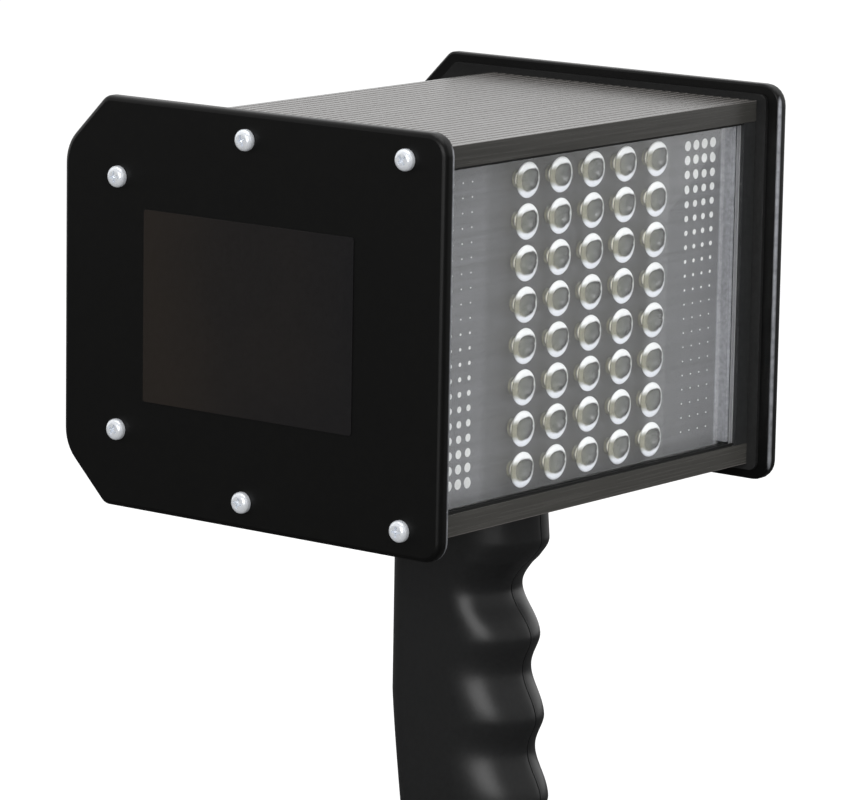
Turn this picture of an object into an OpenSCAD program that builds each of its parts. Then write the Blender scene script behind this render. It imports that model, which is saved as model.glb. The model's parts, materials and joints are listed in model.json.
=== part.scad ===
// Hand-held LED stroboscope: a ribbed body between two end plates, on a pistol grip.
// Millimetres. X runs along the body, the window faces -Y, +Z is up.
// The origin is the mouth of the tripod bush in the foot of the grip.

/* [End plates] */
// Width over the outer faces of the end plates
body_w = 158; // [150:1:180]
// Height of an end plate
plate_h = 115; // [112:0.5:125]
// Depth of an end plate, front to rear
plate_d = 134.4; // [128:0.1:150]
// Thickness of an end plate
plate_t = 4; // [3:0.1:5]
// Radius of an end plate's front corners
plate_front_r = 6; // [4:0.5:9]
// Length of the chamfer across an end plate's rear corners, along each side
plate_chamfer = 15; // [12:0.5:17]
// Radius that blends the chamfer into the rear edge
plate_rear_r = 12; // [6:0.5:16]
// Rounding of an end plate's outer edge
plate_edge = 1.4; // [0.6:0.1:2]
// Rounding of an end plate's inner edge
plate_edge_in = 0.7; // [0.4:0.1:1.2]

/* [Extrusions] */
// Distance of the extrusions' top inside the plates' top edge
top_inset = 4.7; // [4:0.1:8]
// Distance of the extrusions' front edge behind the plates' front edge
front_inset = 7.2; // [5:0.1:9]
// Distance of the extrusions' rear edge inside the plates' rear edge
rear_inset = 7.2; // [5:0.1:9]
// Wall of the extrusions
wall = 3; // [2.5:0.1:4]
// Height of the front lip
lip_h = 6; // [5.6:0.1:7]
// Height of the slope along the extrusions' rear corner
rear_chamfer = 14; // [12:0.5:16]
// Length of that slope, front to rear
rear_run = 25; // [18:0.5:28]
// Thickness of the hood's inner wall
hood_t = 2.6; // [2:0.1:3.5]
// Height of the hood's rear edge
hood_h = 2.8; // [2:0.1:4]
// Pitch of the cooling ribs
rib_pitch = 3; // [2.4:0.1:4]
// Width of the groove between two ribs
rib_gap = 1.2; // [0.8:0.1:2]
// Depth of the groove between two ribs
rib_depth = 0.1; // [0.05:0.05:0.3]
// Depth at which the middle screws enter, from the body's centre
mid_screw_y = 1.2; // [-5:0.1:5]
// Distance of the front screws behind the extrusions' front edge
front_screw_in = 6; // [5.6:0.1:7]
// Distance of the rear screws inside the extrusions' rear edge
rear_screw_in = 13; // [12:0.1:15]

/* [End caps] */
// Thickness of an end cap's flange
cap_t = 1.2; // [1:0.1:3]
// Distance that an end cap stands out in front of the extrusions
cap_over = 3.2; // [2:0.1:4.5]
// Distance that an end cap stands out above the extrusions
cap_top = 1.8; // [1:0.1:2.4]
// Width of the upright at the end of the window
post_w = 5.8; // [5:0.1:8]
// Length of the window's end inside the upright
post_bite = 1.2; // [0.8:0.1:1.5]
// Height of the locating rib on an end cap
spigot_h = 3; // [2:0.1:5]

/* [Window] */
// Thickness of the pane
pane_t = 2.4; // [2:0.1:3]
// Wall of the lip in front of the pane's seal
lip_skin = 0.8; // [0.6:0.1:1.2]
// Wall of the rubber seal
seal_t = 0.4; // [0.3:0.05:0.6]
// Depth of the seal's groove in the lip
seal_d = 3; // [2:0.1:3.2]
// Height of the seal that shows beyond the lip
seal_show = 0.7; // [0.3:0.1:1]

/* [LED array] */
// Number of LED columns
led_cols = 5; // [3:1:7]
// Number of LED rows
led_rows = 8; // [6:1:8]
// Pitch of the columns
led_pitch_x = 14.93; // [12:0.01:17]
// Margin between the outer lenses and the lips
led_margin = 1.9; // [1:0.1:4]
// Diameter of a collimator lens
lens_d = 10; // [9:0.1:10.6]
// Height of a collimator lens
lens_h = 6.8; // [6.6:0.1:8]
// Diameter of a lens at its foot
lens_foot_d = 3.8; // [3.7:0.1:4.4]
// Diameter of a lens behind its rim
lens_neck_d = 7.6; // [6:0.1:8.6]
// Depth of the pocket over an emitter
lens_pocket = 1.6; // [1.5:0.1:2]
// Width of an LED emitter
emitter_w = 3; // [2.8:0.1:3]
// Gap between the pane and the lenses
lens_gap = 0.2; // [0.1:0.1:1]
// Distance of the face plate behind the lenses' fronts
face_back = 4; // [4:0.1:5]
// Thickness of the face plate
face_t = 1.2; // [0.8:0.1:1.5]
// Depth of the face plate's slot in the lips
face_bite = 1; // [0.5:0.1:1.5]
// Thickness of the LED board
led_board_t = 1.6; // [1:0.1:2]
// Thickness of the heat spreader
spreader_t = 4; // [3:0.1:6]

/* [Rear panel] */
// Depth of the panel's face inside the extrusions' rear edge
panel_set = 7.5; // [6:0.1:9]
// Thickness of the panel
panel_t = 2; // [1.5:0.1:2.5]
// Height of the hood's lip that holds the panel
panel_bite = 4; // [3:0.1:5]
// Gap between the panel and the control board
board_gap = 8; // [7.8:0.1:10]
// Thickness of the circuit boards
board_t = 1.6; // [1:0.1:2]
// Width of the display window
display_w = 62; // [50:1:66]
// Height of the display window
display_h = 20; // [14:1:22]
// Diameter of the tuning knob
knob_d = 28; // [22:1:30]
// Height of the tuning knob
knob_h = 12.6; // [10:0.1:13.2]
// Number of flutes round the tuning knob
knob_flutes = 24; // [12:1:36]
// Diameter of the encoder's shaft
shaft_d = 6; // [5:0.1:6]
// Diameter of a push button
button_d = 8; // [6:0.1:9]
// Pitch of the push buttons
button_pitch = 13; // [12.4:0.1:13.4]
// Height of a push button above the panel
button_up = 2.8; // [2:0.1:4]
// Travel of a push button
button_travel = 1; // [0.4:0.1:1]
// Length of the power rocker
rocker_l = 17.2; // [14:0.1:19]
// Width of the power rocker
rocker_w = 12; // [10:0.1:13]
// Tilt of the power rocker to either side
rocker_tilt = 10; // [6:0.5:12]
// Width of the mains inlet's opening
inlet_w = 24.4; // [24:0.1:25]
// Height of the mains inlet's opening
inlet_h = 16.6; // [16:0.1:17]
// Depth of the mains inlet's opening
inlet_deep = 17; // [16:0.1:18]
// Length of the inlet's pins inside the opening
pin_l = 11; // [9:0.1:11.5]
// Diameter of a trigger jack's socket
jack_d = 3.6; // [3.55:0.01:3.7]
// Depth of a trigger jack's socket
jack_deep = 14.5; // [12:0.1:15]

/* [Electronics] */
// Distance of the inner boards from the extrusions' walls
standoff_l = 11; // [9:0.1:14]
// Diameter of the board stand-offs
standoff_d = 6; // [5:0.1:7]
// Height of the driver's storage capacitors
store_cap_h = 25; // [20:0.5:30]
// Diameter of the driver's storage capacitors
store_cap_d = 16; // [12:0.5:17]
// Height of the supply's capacitor
bulk_cap_h = 32; // [25:0.5:36]
// Diameter of the supply's capacitor
bulk_cap_d = 22; // [18:0.5:24]
// Width of the driver's transistors
transistor_w = 10; // [8:0.5:11]
// Height of the driver's transistors
transistor_h = 17; // [14:0.5:20]
// Diameter of the driver's inductors
inductor_d = 13; // [10:0.5:15]
// Height of the driver's inductors
inductor_h = 9; // [7:0.5:12]
// Width of the supply's transformer
transformer_w = 40; // [34:1:42]
// Height of the supply's transformer
transformer_h = 30; // [24:1:34]
// Diameter of the supply's choke
choke_d = 19; // [15:0.5:20]
// Width of the supply's heat sink
sink_w = 48; // [40:1:52]
// Height of the supply's heat sink
sink_h = 22; // [18:0.5:26]
// Bend radius of the ribbon cable
ribbon_bend = 11; // [8:0.5:13]
// Diameter of the inner leads
lead_d = 1.8; // [1.2:0.1:2.4]

/* [Grip] */
// Length of the grip under the body
grip_l = 119.2; // [110:0.2:135]
// Thickness of the grip, side to side
grip_w = 28; // [26:0.5:34]
// Wall of the grip's shells
grip_wall = 3; // [2.5:0.1:3.4]
// Distance of the body's centre behind the foot's centre
body_y = 22; // [18:0.5:26]
// Reach of the grip's front, at its top without the hilt
front_reach = 12.8; // [12.6:0.1:16]
// Lean of the grip's front towards the foot, per millimetre of length
front_lean = 0.1; // [0.06:0.005:0.12]
// Reach of the grip's rear
rear_reach = 24.7; // [23.5:0.1:30]
// Distance that the rear draws in at the foot
rear_tuck = 7; // [2:0.1:8]
// Height above the foot at which the rear starts to draw in
rear_tuck_z = 58; // [40:1:70]
// Radius of the grip's rear corners
grip_rear_r = 6; // [4.5:0.5:9]
// Place where the flat flanks end and the front starts to round
scoop_y = -1; // [-4:0.5:2]
// Distance that a finger groove runs further back along the flanks
scoop_run = 4; // [0:0.5:5]
// Pitch of the finger grooves
finger_pitch = 23.1; // [22:0.1:24.5]
// Number of finger grooves
finger_n = 4; // [3:1:4]
// Depth of a finger groove
finger_depth = 3.8; // [2:0.1:4]
// Extra depth of the first groove
first_deep = 2.2; // [0:0.1:2.4]
// Length from a crest down to the groove under it
finger_fall = 10; // [7:0.5:12]
// Distance of the first groove under the body
first_groove = 29.5; // [26:0.5:32]
// Distance that the hilt stands out in front
hilt_out = 5.8; // [2:0.1:7]
// Height of the foot
foot_h = 6; // [5:0.1:8]
// Width of the grip's core
core_w = 16; // [15:0.1:17]
// Gap of the parting line between the shells
seam = 0.2; // [0.1:0.05:0.4]
// Radius of the tripod bush's hole, a quarter-inch tripod thread
bush_hole_r = 2.6; // [2.5:0.05:3.2]
// Depth of the tripod bush's hole
bush_hole_l = 12; // [9:0.5:14]
// Radius of the tripod bush's flange
bush_flange_r = 9; // [8:0.1:10]

/* [Fasteners] */
// Radius of the end plates' screws
screw_r = 1.5; // [1.2:0.05:1.6]
// Radius of the end plates' screw heads
screw_head_r = 3; // [2.5:0.1:3.5]
// Height of the end plates' screw heads
screw_head_h = 2.2; // [1.5:0.1:2.6]
// Length of the end plates' screws
screw_l = 18; // [14:0.5:24]
// Radius of the grip's bolts
bolt_r = 2.5; // [2.2:0.1:2.6]
// Length of the grip's bolts under the head
bolt_l = 18; // [14:0.5:24]
// Radius of the small screws on boards and grip
small_r = 1.25; // [1:0.05:1.3]

/* [Fits] */
// Slip fit of plates and panes in their slots
slip = 0.1; // [0.05:0.05:0.2]
// Clearance round a screw in a plain hole
hole_clear = 0.2; // [0.1:0.05:0.3]
// Clearance round a screw in its thread
thread_clear = 0.05; // [0.02:0.01:0.1]
// Running clearance of the shaft and the rocker's pivots
run_clear = 0.05; // [0.03:0.01:0.08]
// Clearance round a push button
button_clear = 0.3; // [0.2:0.05:0.4]

/* [Hidden] */
$fn = 48;
eps = 0.01;

// Places along the body, from its centre
ext_h = plate_h - 2 * top_inset;
body_z = grip_l + ext_h / 2;
plate_x = body_w / 2 - plate_t;
ext_x = plate_x - cap_t;
ext_l = 2 * ext_x;
front_y = -plate_d / 2 + front_inset;
rear_y = plate_d / 2 - rear_inset;
top_z = ext_h / 2;
lip_z = top_z - lip_h;
inner_z = top_z - wall;
hood_z = top_z - rear_chamfer - hood_h;

// Screws of the end plates, as [y, z] of the upper half
screw_z = top_z - lip_h / 2;
rear_screw_z = hood_z - 0.6;
boss_r = 3.2;
plate_screws = [
    [front_y + front_screw_in, screw_z],
    [mid_screw_y, screw_z],
    [rear_y - rear_screw_in, rear_screw_z]
];

// Window and LED stack, front to back
seal_y = front_y + lip_skin;
seal_w = pane_t + 2 * seal_t;
groove_y0 = seal_y - slip / 2;
groove_w = seal_w + slip;
pane_y = seal_y + seal_t;
post_x = ext_x - post_w;
lens_y = pane_y + pane_t + lens_gap;
face_y = lens_y + face_back;
package_t = 0.6;
led_board_y = lens_y + lens_h + slip + package_t;
spreader_y = led_board_y + led_board_t;
lip_back = spreader_y - slip;
spreader_back = spreader_y + spreader_t;
slot_rib = 2;
led_pitch_z = (ext_h - 2 * lip_h - lens_d - 2 * led_margin) / (led_rows - 1);
led_x = [for (i = [0 : led_cols - 1]) (i - (led_cols - 1) / 2) * led_pitch_x];
led_z = [for (i = [0 : led_rows - 1]) (i - (led_rows - 1) / 2) * led_pitch_z];
lens_rim_t = 1.2;
face_hole_r = lens_foot_d / 2 + 0.7;
led_board_w = (led_cols - 1) * led_pitch_x + lens_d + 2.4;
led_board_h = 2 * lip_z - 2.4;
led_screw_x = 1.5 * led_pitch_x;
led_screw_z = 2 * led_pitch_z;
led_screw_head = 1.2;
lead_window = [12, 6];
lead_z = inner_z - standoff_l - board_t - 6;

// Rear panel stack, rear face to the inside
panel_y = rear_y - panel_set;
panel_in = panel_y - panel_t;
panel_top = hood_z - 0.2;
panel_rib = 2;
control_y = panel_in - board_gap;
control_top = hood_z - panel_bite - 1;
control_low = -12;
control_left = -ext_x + 17.8;
control_right = ext_x - 9.8;
window_flange = 1;
display_x = control_left + display_w / 2 + 6;
display_z = control_top - display_h / 2 - 4;
knob_x = ext_x - 25.8;
knob_z = 12;
inlet_x = -ext_x + 23.8;
inlet_z = -18;
inlet_wall = 1.5;
inlet_rim = 2.8;
inlet_rim_t = 2.5;
rocker_x = ext_x - 29.8;
rocker_z = -21;
jack_x = [inlet_x + 36, inlet_x + 56];
jack_z = -23;
jack_neck_r = 3;
jack_neck_out = 4;
jack_nut_r = 4.6;
jack_nut_t = 2.1;
button_n = 5;
button_z = -6;
button_x = [for (i = [0 : button_n - 1]) inlet_x + 26 + i * button_pitch];
control_step = inlet_x + 19;
control_step_z = 0;

// Push button and its switch
button_r = button_d / 2;
button_flange_r = button_r + 1.2;
button_flange_t = 1.2;
button_flange_gap = 0.4;
button_stem_r = 1.7;
switch_w = 6.2;
switch_h = 4.7;
switch_hole_r = button_stem_r + button_clear;
stem_gap = button_travel + 0.6;
switch_hole_d = 2.7;

// Encoder and knob
shaft_r = shaft_d / 2;
bushing_r = shaft_r + 0.6;
bushing_out = 2.7;
encoder_w = 13;
encoder_t = 6;
nut_t = 2.2;
nut_r = 5.5;
knob_gap = 0.7;
knob_y = panel_y + knob_gap;
knob_skirt_r = nut_r + 1;
knob_skirt_d = bushing_out + 0.4 - knob_gap + 0.6;
knob_top = 1.8;

// Power switch
rocker_cavity_l = rocker_l + 2.2;
rocker_cavity_w = rocker_w + 0.6;
switch_wall = 1.1;
bezel_w = 1.2;
bezel_t = 1.5;
switch_deep = 18.5;
pivot_r = 1.2;
pivot_in = 1.5;
pivot_y = panel_y - pivot_in;
pivot_bite = 0.7;

// Inner boards
board_rear = control_y - board_t - 5;
board_front = spreader_back + slot_rib + 4;
driver_z = inner_z - standoff_l;
supply_z = -driver_z;
board_w = ext_l - 19;
standoff_x = board_w / 2 - 6;
standoff_front = board_front + 6;
standoff_rear_in = 8;
supply_rear = board_rear - 12;
board_depth = board_rear - board_front;
board_col = board_w * 0.161;
store_y = board_front + board_depth * 0.3;
coil_y = board_front + board_depth * 0.6;
transistor_y = board_front + board_depth * 0.095;
transformer_y = board_front + board_depth * 0.352;
bulk_y = board_front + board_depth * 0.244;
choke_y = board_front + board_depth * 0.568;
sink_y = board_front + board_depth * 0.081;
driver_part_x = [for (k = [-2, -1, 1, 2]) k * board_col];
transistor_x = [for (k = [-4, -3, -2, 2, 3, 4]) k * board_col * 0.6];

// Grip
shell_top = grip_l - 0.2;
shell_low = foot_h + 0.1;
first_z = grip_l - first_groove;
hilt_z = first_z + 6.8;
hilt_l = 8.8;
core_top = grip_l;
core_low = foot_h + 0.2;
core_front = -2.5;
core_toe = -8;
core_heel = 13;
core_rear = 15;
bolt_y = [2, 11];
bolt_head_r = 4.25;
bolt_head_h = 4.5;
grip_screw_y = 7;
grip_screw_z = [24, 62, 100];
grip_boss_r = 4;
grip_head_r = 2.8;
grip_head_h = 1.8;
grip_recess = 2.2;
bush_flange_t = 1.6;
bush_r = 6.2;
bush_l = 18;

// Places children in the body's own frame, whose origin is the body's centre
module in_body() {
    translate([0, body_y, body_z])
        children();
}

// Extrudes a [y, z] profile along X, centred
module along_x(length) {
    translate([-length / 2, 0, 0])
        rotate([90, 0, 90])
            linear_extrude(length)
                children();
}

// Extrudes an [x, z] outline along Y, from y by a thickness
module slab_y(y, thickness) {
    translate([0, y + thickness, 0])
        rotate([90, 0, 0])
            linear_extrude(thickness)
                children();
}

// A rod along Y, from y0 to y1
module rod_y(r, y0, y1) {
    translate([0, y1, 0])
        rotate([90, 0, 0])
            cylinder(r = r, h = y1 - y0);
}

// A rod along X, from x0 to x1
module rod_x(r, x0, x1) {
    translate([x0, 0, 0])
        rotate([0, 90, 0])
            cylinder(r = r, h = x1 - x0);
}

// A block given by its lowest and highest corners
module block(low, high) {
    translate(low)
        cube(high - low);
}

// Points of an outline whose corners, given as [y, z, radius], are rounded
function unit(v) = v / norm(v);
function rounded(corners, steps = 8) = [
    for (i = [0 : len(corners) - 1])
        let (
            n = len(corners),
            p = [corners[i][0], corners[i][1]],
            a = unit([corners[(i + n - 1) % n][0], corners[(i + n - 1) % n][1]] - p),
            b = unit([corners[(i + 1) % n][0], corners[(i + 1) % n][1]] - p),
            half = acos(a * b) / 2,
            r = corners[i][2],
            centre = p + unit(a + b) * r / sin(half),
            start = p + a * r / tan(half) - centre,
            turn = 180 - 2 * half,
            side = b[0] * a[1] - b[1] * a[0] > 0 ? 1 : -1
        )
        for (k = [0 : steps])
            let (t = side * turn * k / steps)
            centre + [start[0] * cos(t) - start[1] * sin(t), start[0] * sin(t) + start[1] * cos(t)]
];

// Outline of an end plate or cap: square front corners, chamfered rear corners
function plate_corners(front, rear, high, chamfer, front_r, rear_r) = [
    [front, -high, front_r],
    [rear - chamfer, -high, rear_r / 3],
    [rear, -high + chamfer, rear_r],
    [rear, high - chamfer, rear_r],
    [rear - chamfer, high, rear_r / 3],
    [front, high, front_r]
];

// Runs children at all six screws of one end
module at_plate_screws() {
    for (s = plate_screws)
        for (side = [-1, 1])
            translate([0, s[0], side * s[1]])
                children();
}

// Profile of the upper extrusion, as [y, z]
module extrusion_profile() {
    fall = atan(rear_chamfer / rear_run);
    boss_y = rear_y - rear_screw_in;
    difference() {
        union() {
            translate([front_y, inner_z])
                square([rear_y - rear_run - front_y, wall]);
            translate([front_y, lip_z])
                square([lip_back - front_y, lip_h]);
            translate([spreader_back + slip, lip_z])
                square([slot_rib, lip_h]);
            translate([mid_screw_y - boss_r, lip_z])
                square([2 * boss_r, lip_h]);
            polygon([
                [rear_y - rear_run, top_z],
                [rear_y, top_z - rear_chamfer],
                [rear_y, hood_z],
                [rear_y - wall, hood_z],
                [rear_y - wall, top_z - rear_chamfer - wall * tan(45 - fall / 2)],
                [rear_y - rear_run - wall * tan(fall / 2), inner_z]
            ]);
            translate([boss_y - boss_r, hood_z])
                square([rear_y - boss_y + boss_r, hood_t]);
            translate([panel_y + slip, hood_z - panel_bite])
                square([panel_rib, panel_bite + eps]);
            translate([boss_y - boss_r, hood_z - panel_bite])
                square([panel_in - slip - boss_y + boss_r, panel_bite + eps]);
        }
        for (s = plate_screws)
            translate(s)
                circle(r = screw_r + thread_clear);
        translate([groove_y0, lip_z - eps])
            square([groove_w, seal_d + eps]);
        translate([face_y - slip, lip_z - eps])
            square([face_t + 2 * slip, face_bite + slip + eps]);
        for (y = [front_y + 2 : rib_pitch : rear_y - rear_run - rib_gap - 0.5])
            translate([y, top_z - rib_depth])
                square([rib_gap, rib_depth + eps]);
    }
}

module upper_extrusion() {
    color("silver")
        in_body()
            along_x(ext_l)
                extrusion_profile();
}

module lower_extrusion() {
    color("darkgray")
        difference() {
            in_body()
                mirror([0, 0, 1])
                    along_x(ext_l)
                        extrusion_profile();
            for (y = bolt_y)
                translate([0, y, grip_l - eps])
                    cylinder(r = bolt_r + hole_clear, h = wall + 2 * eps);
        }
}

// End cap at +X: a flange under the end plate, an upright beside the pane and two locating ribs
module end_cap() {
    spigot_y = [lip_back + spreader_t + slot_rib + 6, rear_y - rear_run - 5];
    difference() {
        union() {
            translate([ext_x, 0, 0])
                rotate([90, 0, 90])
                    linear_extrude(cap_t)
                        polygon(rounded(plate_corners(
                            front_y - cap_over, rear_y + cap_over, top_z + cap_top, rear_chamfer, 2.5, 6)));
            block(
                [post_x, front_y, -lip_z + slip],
                [ext_x + eps, face_y - 0.5, lip_z - slip]);
            for (y = spigot_y)
                for (side = [-1, 1])
                    translate([ext_x - spigot_h, y - 4, side * (inner_z - 1.5) - 1])
                        cube([spigot_h + eps, 8, 2]);
        }
        translate([post_x - eps, pane_y - slip / 2, -lip_z])
            cube([post_bite + slip, pane_t + slip, 2 * lip_z]);
        at_plate_screws()
            rod_x(screw_r + hole_clear, ext_x - eps, plate_x + eps);
    }
}

module right_end_cap() {
    color("dimgray")
        in_body()
            end_cap();
}

module left_end_cap() {
    color("dimgray")
        in_body()
            mirror([1, 0, 0])
                end_cap();
}

// End plate at +X, with its outer and inner edges rounded in three steps
module end_plate() {
    difference() {
        hull()
            for (k = [0 : 3])
                let (
                    turn = 30 * k,
                    inset = plate_edge * (1 - cos(turn)),
                    inner = plate_edge_in * max(0, 1 - sin(turn) - inset / plate_edge),
                    outer = plate_t - plate_edge * (1 - sin(turn))
                )
                translate([plate_x + inner, 0, 0])
                    rotate([90, 0, 90])
                        linear_extrude(outer - inner)
                            polygon(rounded(plate_corners(
                                -plate_d / 2 + inset, plate_d / 2 - inset, plate_h / 2 - inset,
                                plate_chamfer - inset * 0.6, plate_front_r - inset, plate_rear_r), 6));
        at_plate_screws()
            rod_x(screw_r + hole_clear, plate_x - eps, body_w / 2 + eps);
    }
}

module right_end_plate() {
    color("black")
        in_body()
            end_plate();
}

module left_end_plate() {
    color("black")
        in_body()
            mirror([1, 0, 0])
                end_plate();
}

// Pan-head screw along +X, with its seat at x = 0 and its shank towards -X
module pan_screw(r, head_r, head_h, length) {
    rotate([0, 90, 0])
        rotate_extrude()
            polygon([
                [0, -length],
                [r * 0.7, -length],
                [r, -length + r * 0.6],
                [r, 0],
                [head_r, 0],
                [head_r, head_h * 0.45],
                [head_r * 0.85, head_h * 0.8],
                [head_r * 0.5, head_h],
                [0, head_h]
            ]);
}

module end_plate_screws() {
    color("gainsboro")
        in_body()
            for (side = [0, 1])
                mirror([side, 0, 0])
                    at_plate_screws()
                        translate([body_w / 2, 0, 0])
                            pan_screw(screw_r, screw_head_r, screw_head_h, screw_l);
}

module window_pane() {
    pane_x = post_x + post_bite - slip;
    pane_z = lip_z + seal_d - seal_t - slip;
    color("aliceblue", 0.4)
        in_body()
            block([-pane_x, pane_y, -pane_z], [pane_x, pane_y + pane_t, pane_z]);
}

// A rubber channel over each long edge of the pane
module window_seals() {
    color("black")
        in_body()
            for (side = [0, 1])
                mirror([0, 0, side])
                    along_x(2 * (post_x - slip))
                        difference() {
                            translate([seal_y, lip_z - seal_show])
                                square([seal_w, seal_show + seal_d - slip / 2]);
                            translate([pane_y - slip / 4, lip_z - seal_show - eps])
                                square([pane_t + slip / 2, seal_show + seal_d - seal_t - slip / 2 + eps]);
                        }
}

// Runs children at every LED
module at_leds() {
    for (x = led_x)
        for (z = led_z)
            translate([x, 0, z])
                children();
}

// Grey sheet behind the lenses, folded forward beside the uprights
module face_plate() {
    face_z = lip_z + face_bite;
    fold_x = post_x - 2 * slip;
    fold_y = pane_y + pane_t + 3 * slip;
    fold_z = lip_z - seal_show - 3 * slip;
    color("gray")
        in_body() {
            slab_y(face_y, face_t)
                difference() {
                    translate([-ext_x + 1, -face_z])
                        square([2 * ext_x - 2, 2 * face_z]);
                    for (x = led_x)
                        for (z = led_z)
                            translate([x, z])
                                circle(r = face_hole_r);
                }
            for (side = [0, 1])
                mirror([side, 0, 0])
                    block([fold_x - face_t, fold_y, -fold_z], [fold_x, face_y + eps, fold_z]);
        }
}

// Collimator: a flared body with a rim at its front and a pocket over the emitter at its foot
module collimator_lenses() {
    foot_r = lens_foot_d / 2;
    pocket_r = foot_r - 0.6;
    flare = lens_neck_d / 2 - foot_r;
    rim_z = lens_h - lens_rim_t;
    color("white", 0.5)
        in_body()
            at_leds()
                translate([0, lens_y + lens_h, 0])
                    rotate([90, 0, 0])
                        rotate_extrude()
                            polygon([
                                [0, lens_pocket + 0.4],
                                [pocket_r * 0.6, lens_pocket + 0.25],
                                [pocket_r, lens_pocket],
                                [pocket_r, 0],
                                [foot_r, 0],
                                [foot_r + flare * 0.1, rim_z * 0.35],
                                [foot_r + flare * 0.4, rim_z * 0.7],
                                [foot_r + flare, rim_z],
                                [lens_d / 2, rim_z],
                                [lens_d / 2, lens_h - 0.3],
                                [lens_d / 2 - 0.3, lens_h],
                                [0, lens_h]
                            ]);
}

// Emitter: a square package with a domed chip cover
module led_emitters() {
    dome_r = emitter_w * 0.4;
    color("gold")
        in_body()
            at_leds() {
                translate([0, led_board_y - package_t / 2, 0])
                    cube([emitter_w, package_t, emitter_w], center = true);
                translate([0, led_board_y - package_t + eps, 0])
                    rotate([90, 0, 0])
                        rotate_extrude()
                            polygon(concat(
                                [[0, 0]],
                                [for (a = [0 : 15 : 90]) dome_r * [cos(a), sin(a)]]));
            }
}

// Runs children at the LED board's four screws
module at_led_screws() {
    for (x = [-led_screw_x, led_screw_x])
        for (z = [-led_screw_z, led_screw_z])
            translate([x, 0, z])
                children();
}

module led_board() {
    color("whitesmoke")
        in_body()
            difference() {
                slab_y(led_board_y, led_board_t)
                    square([led_board_w, led_board_h], center = true);
                at_led_screws()
                    rod_y(small_r + hole_clear, led_board_y - eps, spreader_y + eps);
            }
}

module led_board_screws() {
    color("silver")
        in_body()
            at_led_screws()
                translate([0, led_board_y, 0])
                    rotate([0, 0, -90])
                        pan_screw(small_r, small_r * 1.9, led_screw_head, led_board_t + spreader_t - 1);
}

module heat_spreader() {
    spreader_z = inner_z - slip;
    color("lightgray")
        in_body()
            difference() {
                slab_y(spreader_y, spreader_t)
                    difference() {
                        square([2 * ext_x - 8, 2 * spreader_z], center = true);
                        translate([0, lead_z])
                            square(lead_window, center = true);
                    }
                at_led_screws()
                    rod_y(small_r + thread_clear, spreader_y - eps, spreader_back + eps);
            }
}

// Rear panel with the openings of what it carries
module rear_panel() {
    color("black")
        in_body()
            slab_y(panel_in, panel_t)
                difference() {
                    square([ext_l - 0.4, 2 * panel_top], center = true);
                    translate([display_x, display_z])
                        square([display_w, display_h], center = true);
                    translate([knob_x, knob_z])
                        circle(r = bushing_r + hole_clear);
                    for (x = button_x)
                        translate([x, button_z])
                            circle(r = button_r + button_clear);
                    translate([rocker_x, rocker_z])
                        square([
                            rocker_cavity_l + 2 * switch_wall + 2 * slip,
                            rocker_cavity_w + 2 * switch_wall + 2 * slip], center = true);
                    translate([inlet_x, inlet_z])
                        square([
                            inlet_w + 2 * inlet_wall + 2 * slip,
                            inlet_h + 2 * inlet_wall + 2 * slip], center = true);
                    for (x = jack_x)
                        translate([x, jack_z])
                            circle(r = jack_neck_r + hole_clear);
                }
}

// Tinted window, flush with the panel and held by a flange behind it
module display_window() {
    color("darkred")
        in_body()
            translate([display_x, 0, display_z]) {
                slab_y(panel_in - window_flange, window_flange)
                    square([display_w + 4, display_h + 4], center = true);
                slab_y(panel_in - eps, panel_t + eps)
                    square([display_w - 2 * slip, display_h - 2 * slip], center = true);
            }
}

// Five-digit display, with each digit's face standing in its own bay
module display_module() {
    digit_n = 5;
    digit_w = (display_w - 4) / digit_n;
    face_in = panel_in - window_flange - 0.3;
    color("dimgray")
        in_body()
            translate([display_x, 0, display_z]) {
                block([-display_w / 2 + 1, control_y, -display_h / 2 + 1],
                    [display_w / 2 - 1, face_in - 1, display_h / 2 - 1]);
                for (i = [0 : digit_n - 1])
                    translate([(i - (digit_n - 1) / 2) * digit_w, 0, 0])
                        block([-digit_w / 2 + 0.6, face_in - 1 - eps, -display_h / 2 + 2],
                            [digit_w / 2 - 0.6, face_in, display_h / 2 - 2]);
            }
}

// Spacers of the control board, as [x, z], clear of the display window and the buttons
spacer_r = 1.6;
spacer_in = 3;
control_spacers = [
    [control_left + spacer_r + 0.3, control_top - spacer_in],
    [control_right - spacer_in, control_top - spacer_in],
    [control_right - spacer_in, control_low + spacer_in],
    [control_step + spacer_in, control_step_z + 1.4]
];

module control_board() {
    color("darkgreen")
        in_body()
            slab_y(control_y - board_t, board_t)
                polygon([
                    [control_left, control_step_z],
                    [control_step, control_step_z],
                    [control_step, control_low],
                    [control_right, control_low],
                    [control_right, control_top],
                    [control_left, control_top]
                ]);
}

module control_board_spacers() {
    color("goldenrod")
        in_body()
            for (s = control_spacers)
                translate([s[0], 0, s[1]])
                    rod_y(spacer_r, control_y, panel_in);
}

module button_switches() {
    color("dimgray")
        in_body()
            for (x = button_x)
                translate([x, 0, button_z])
                    difference() {
                        block([-switch_w / 2, control_y, -switch_w / 2],
                            [switch_w / 2, control_y + switch_h, switch_w / 2]);
                        rod_y(switch_hole_r, control_y + switch_h - switch_hole_d, control_y + switch_h + eps);
                    }
}

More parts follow.
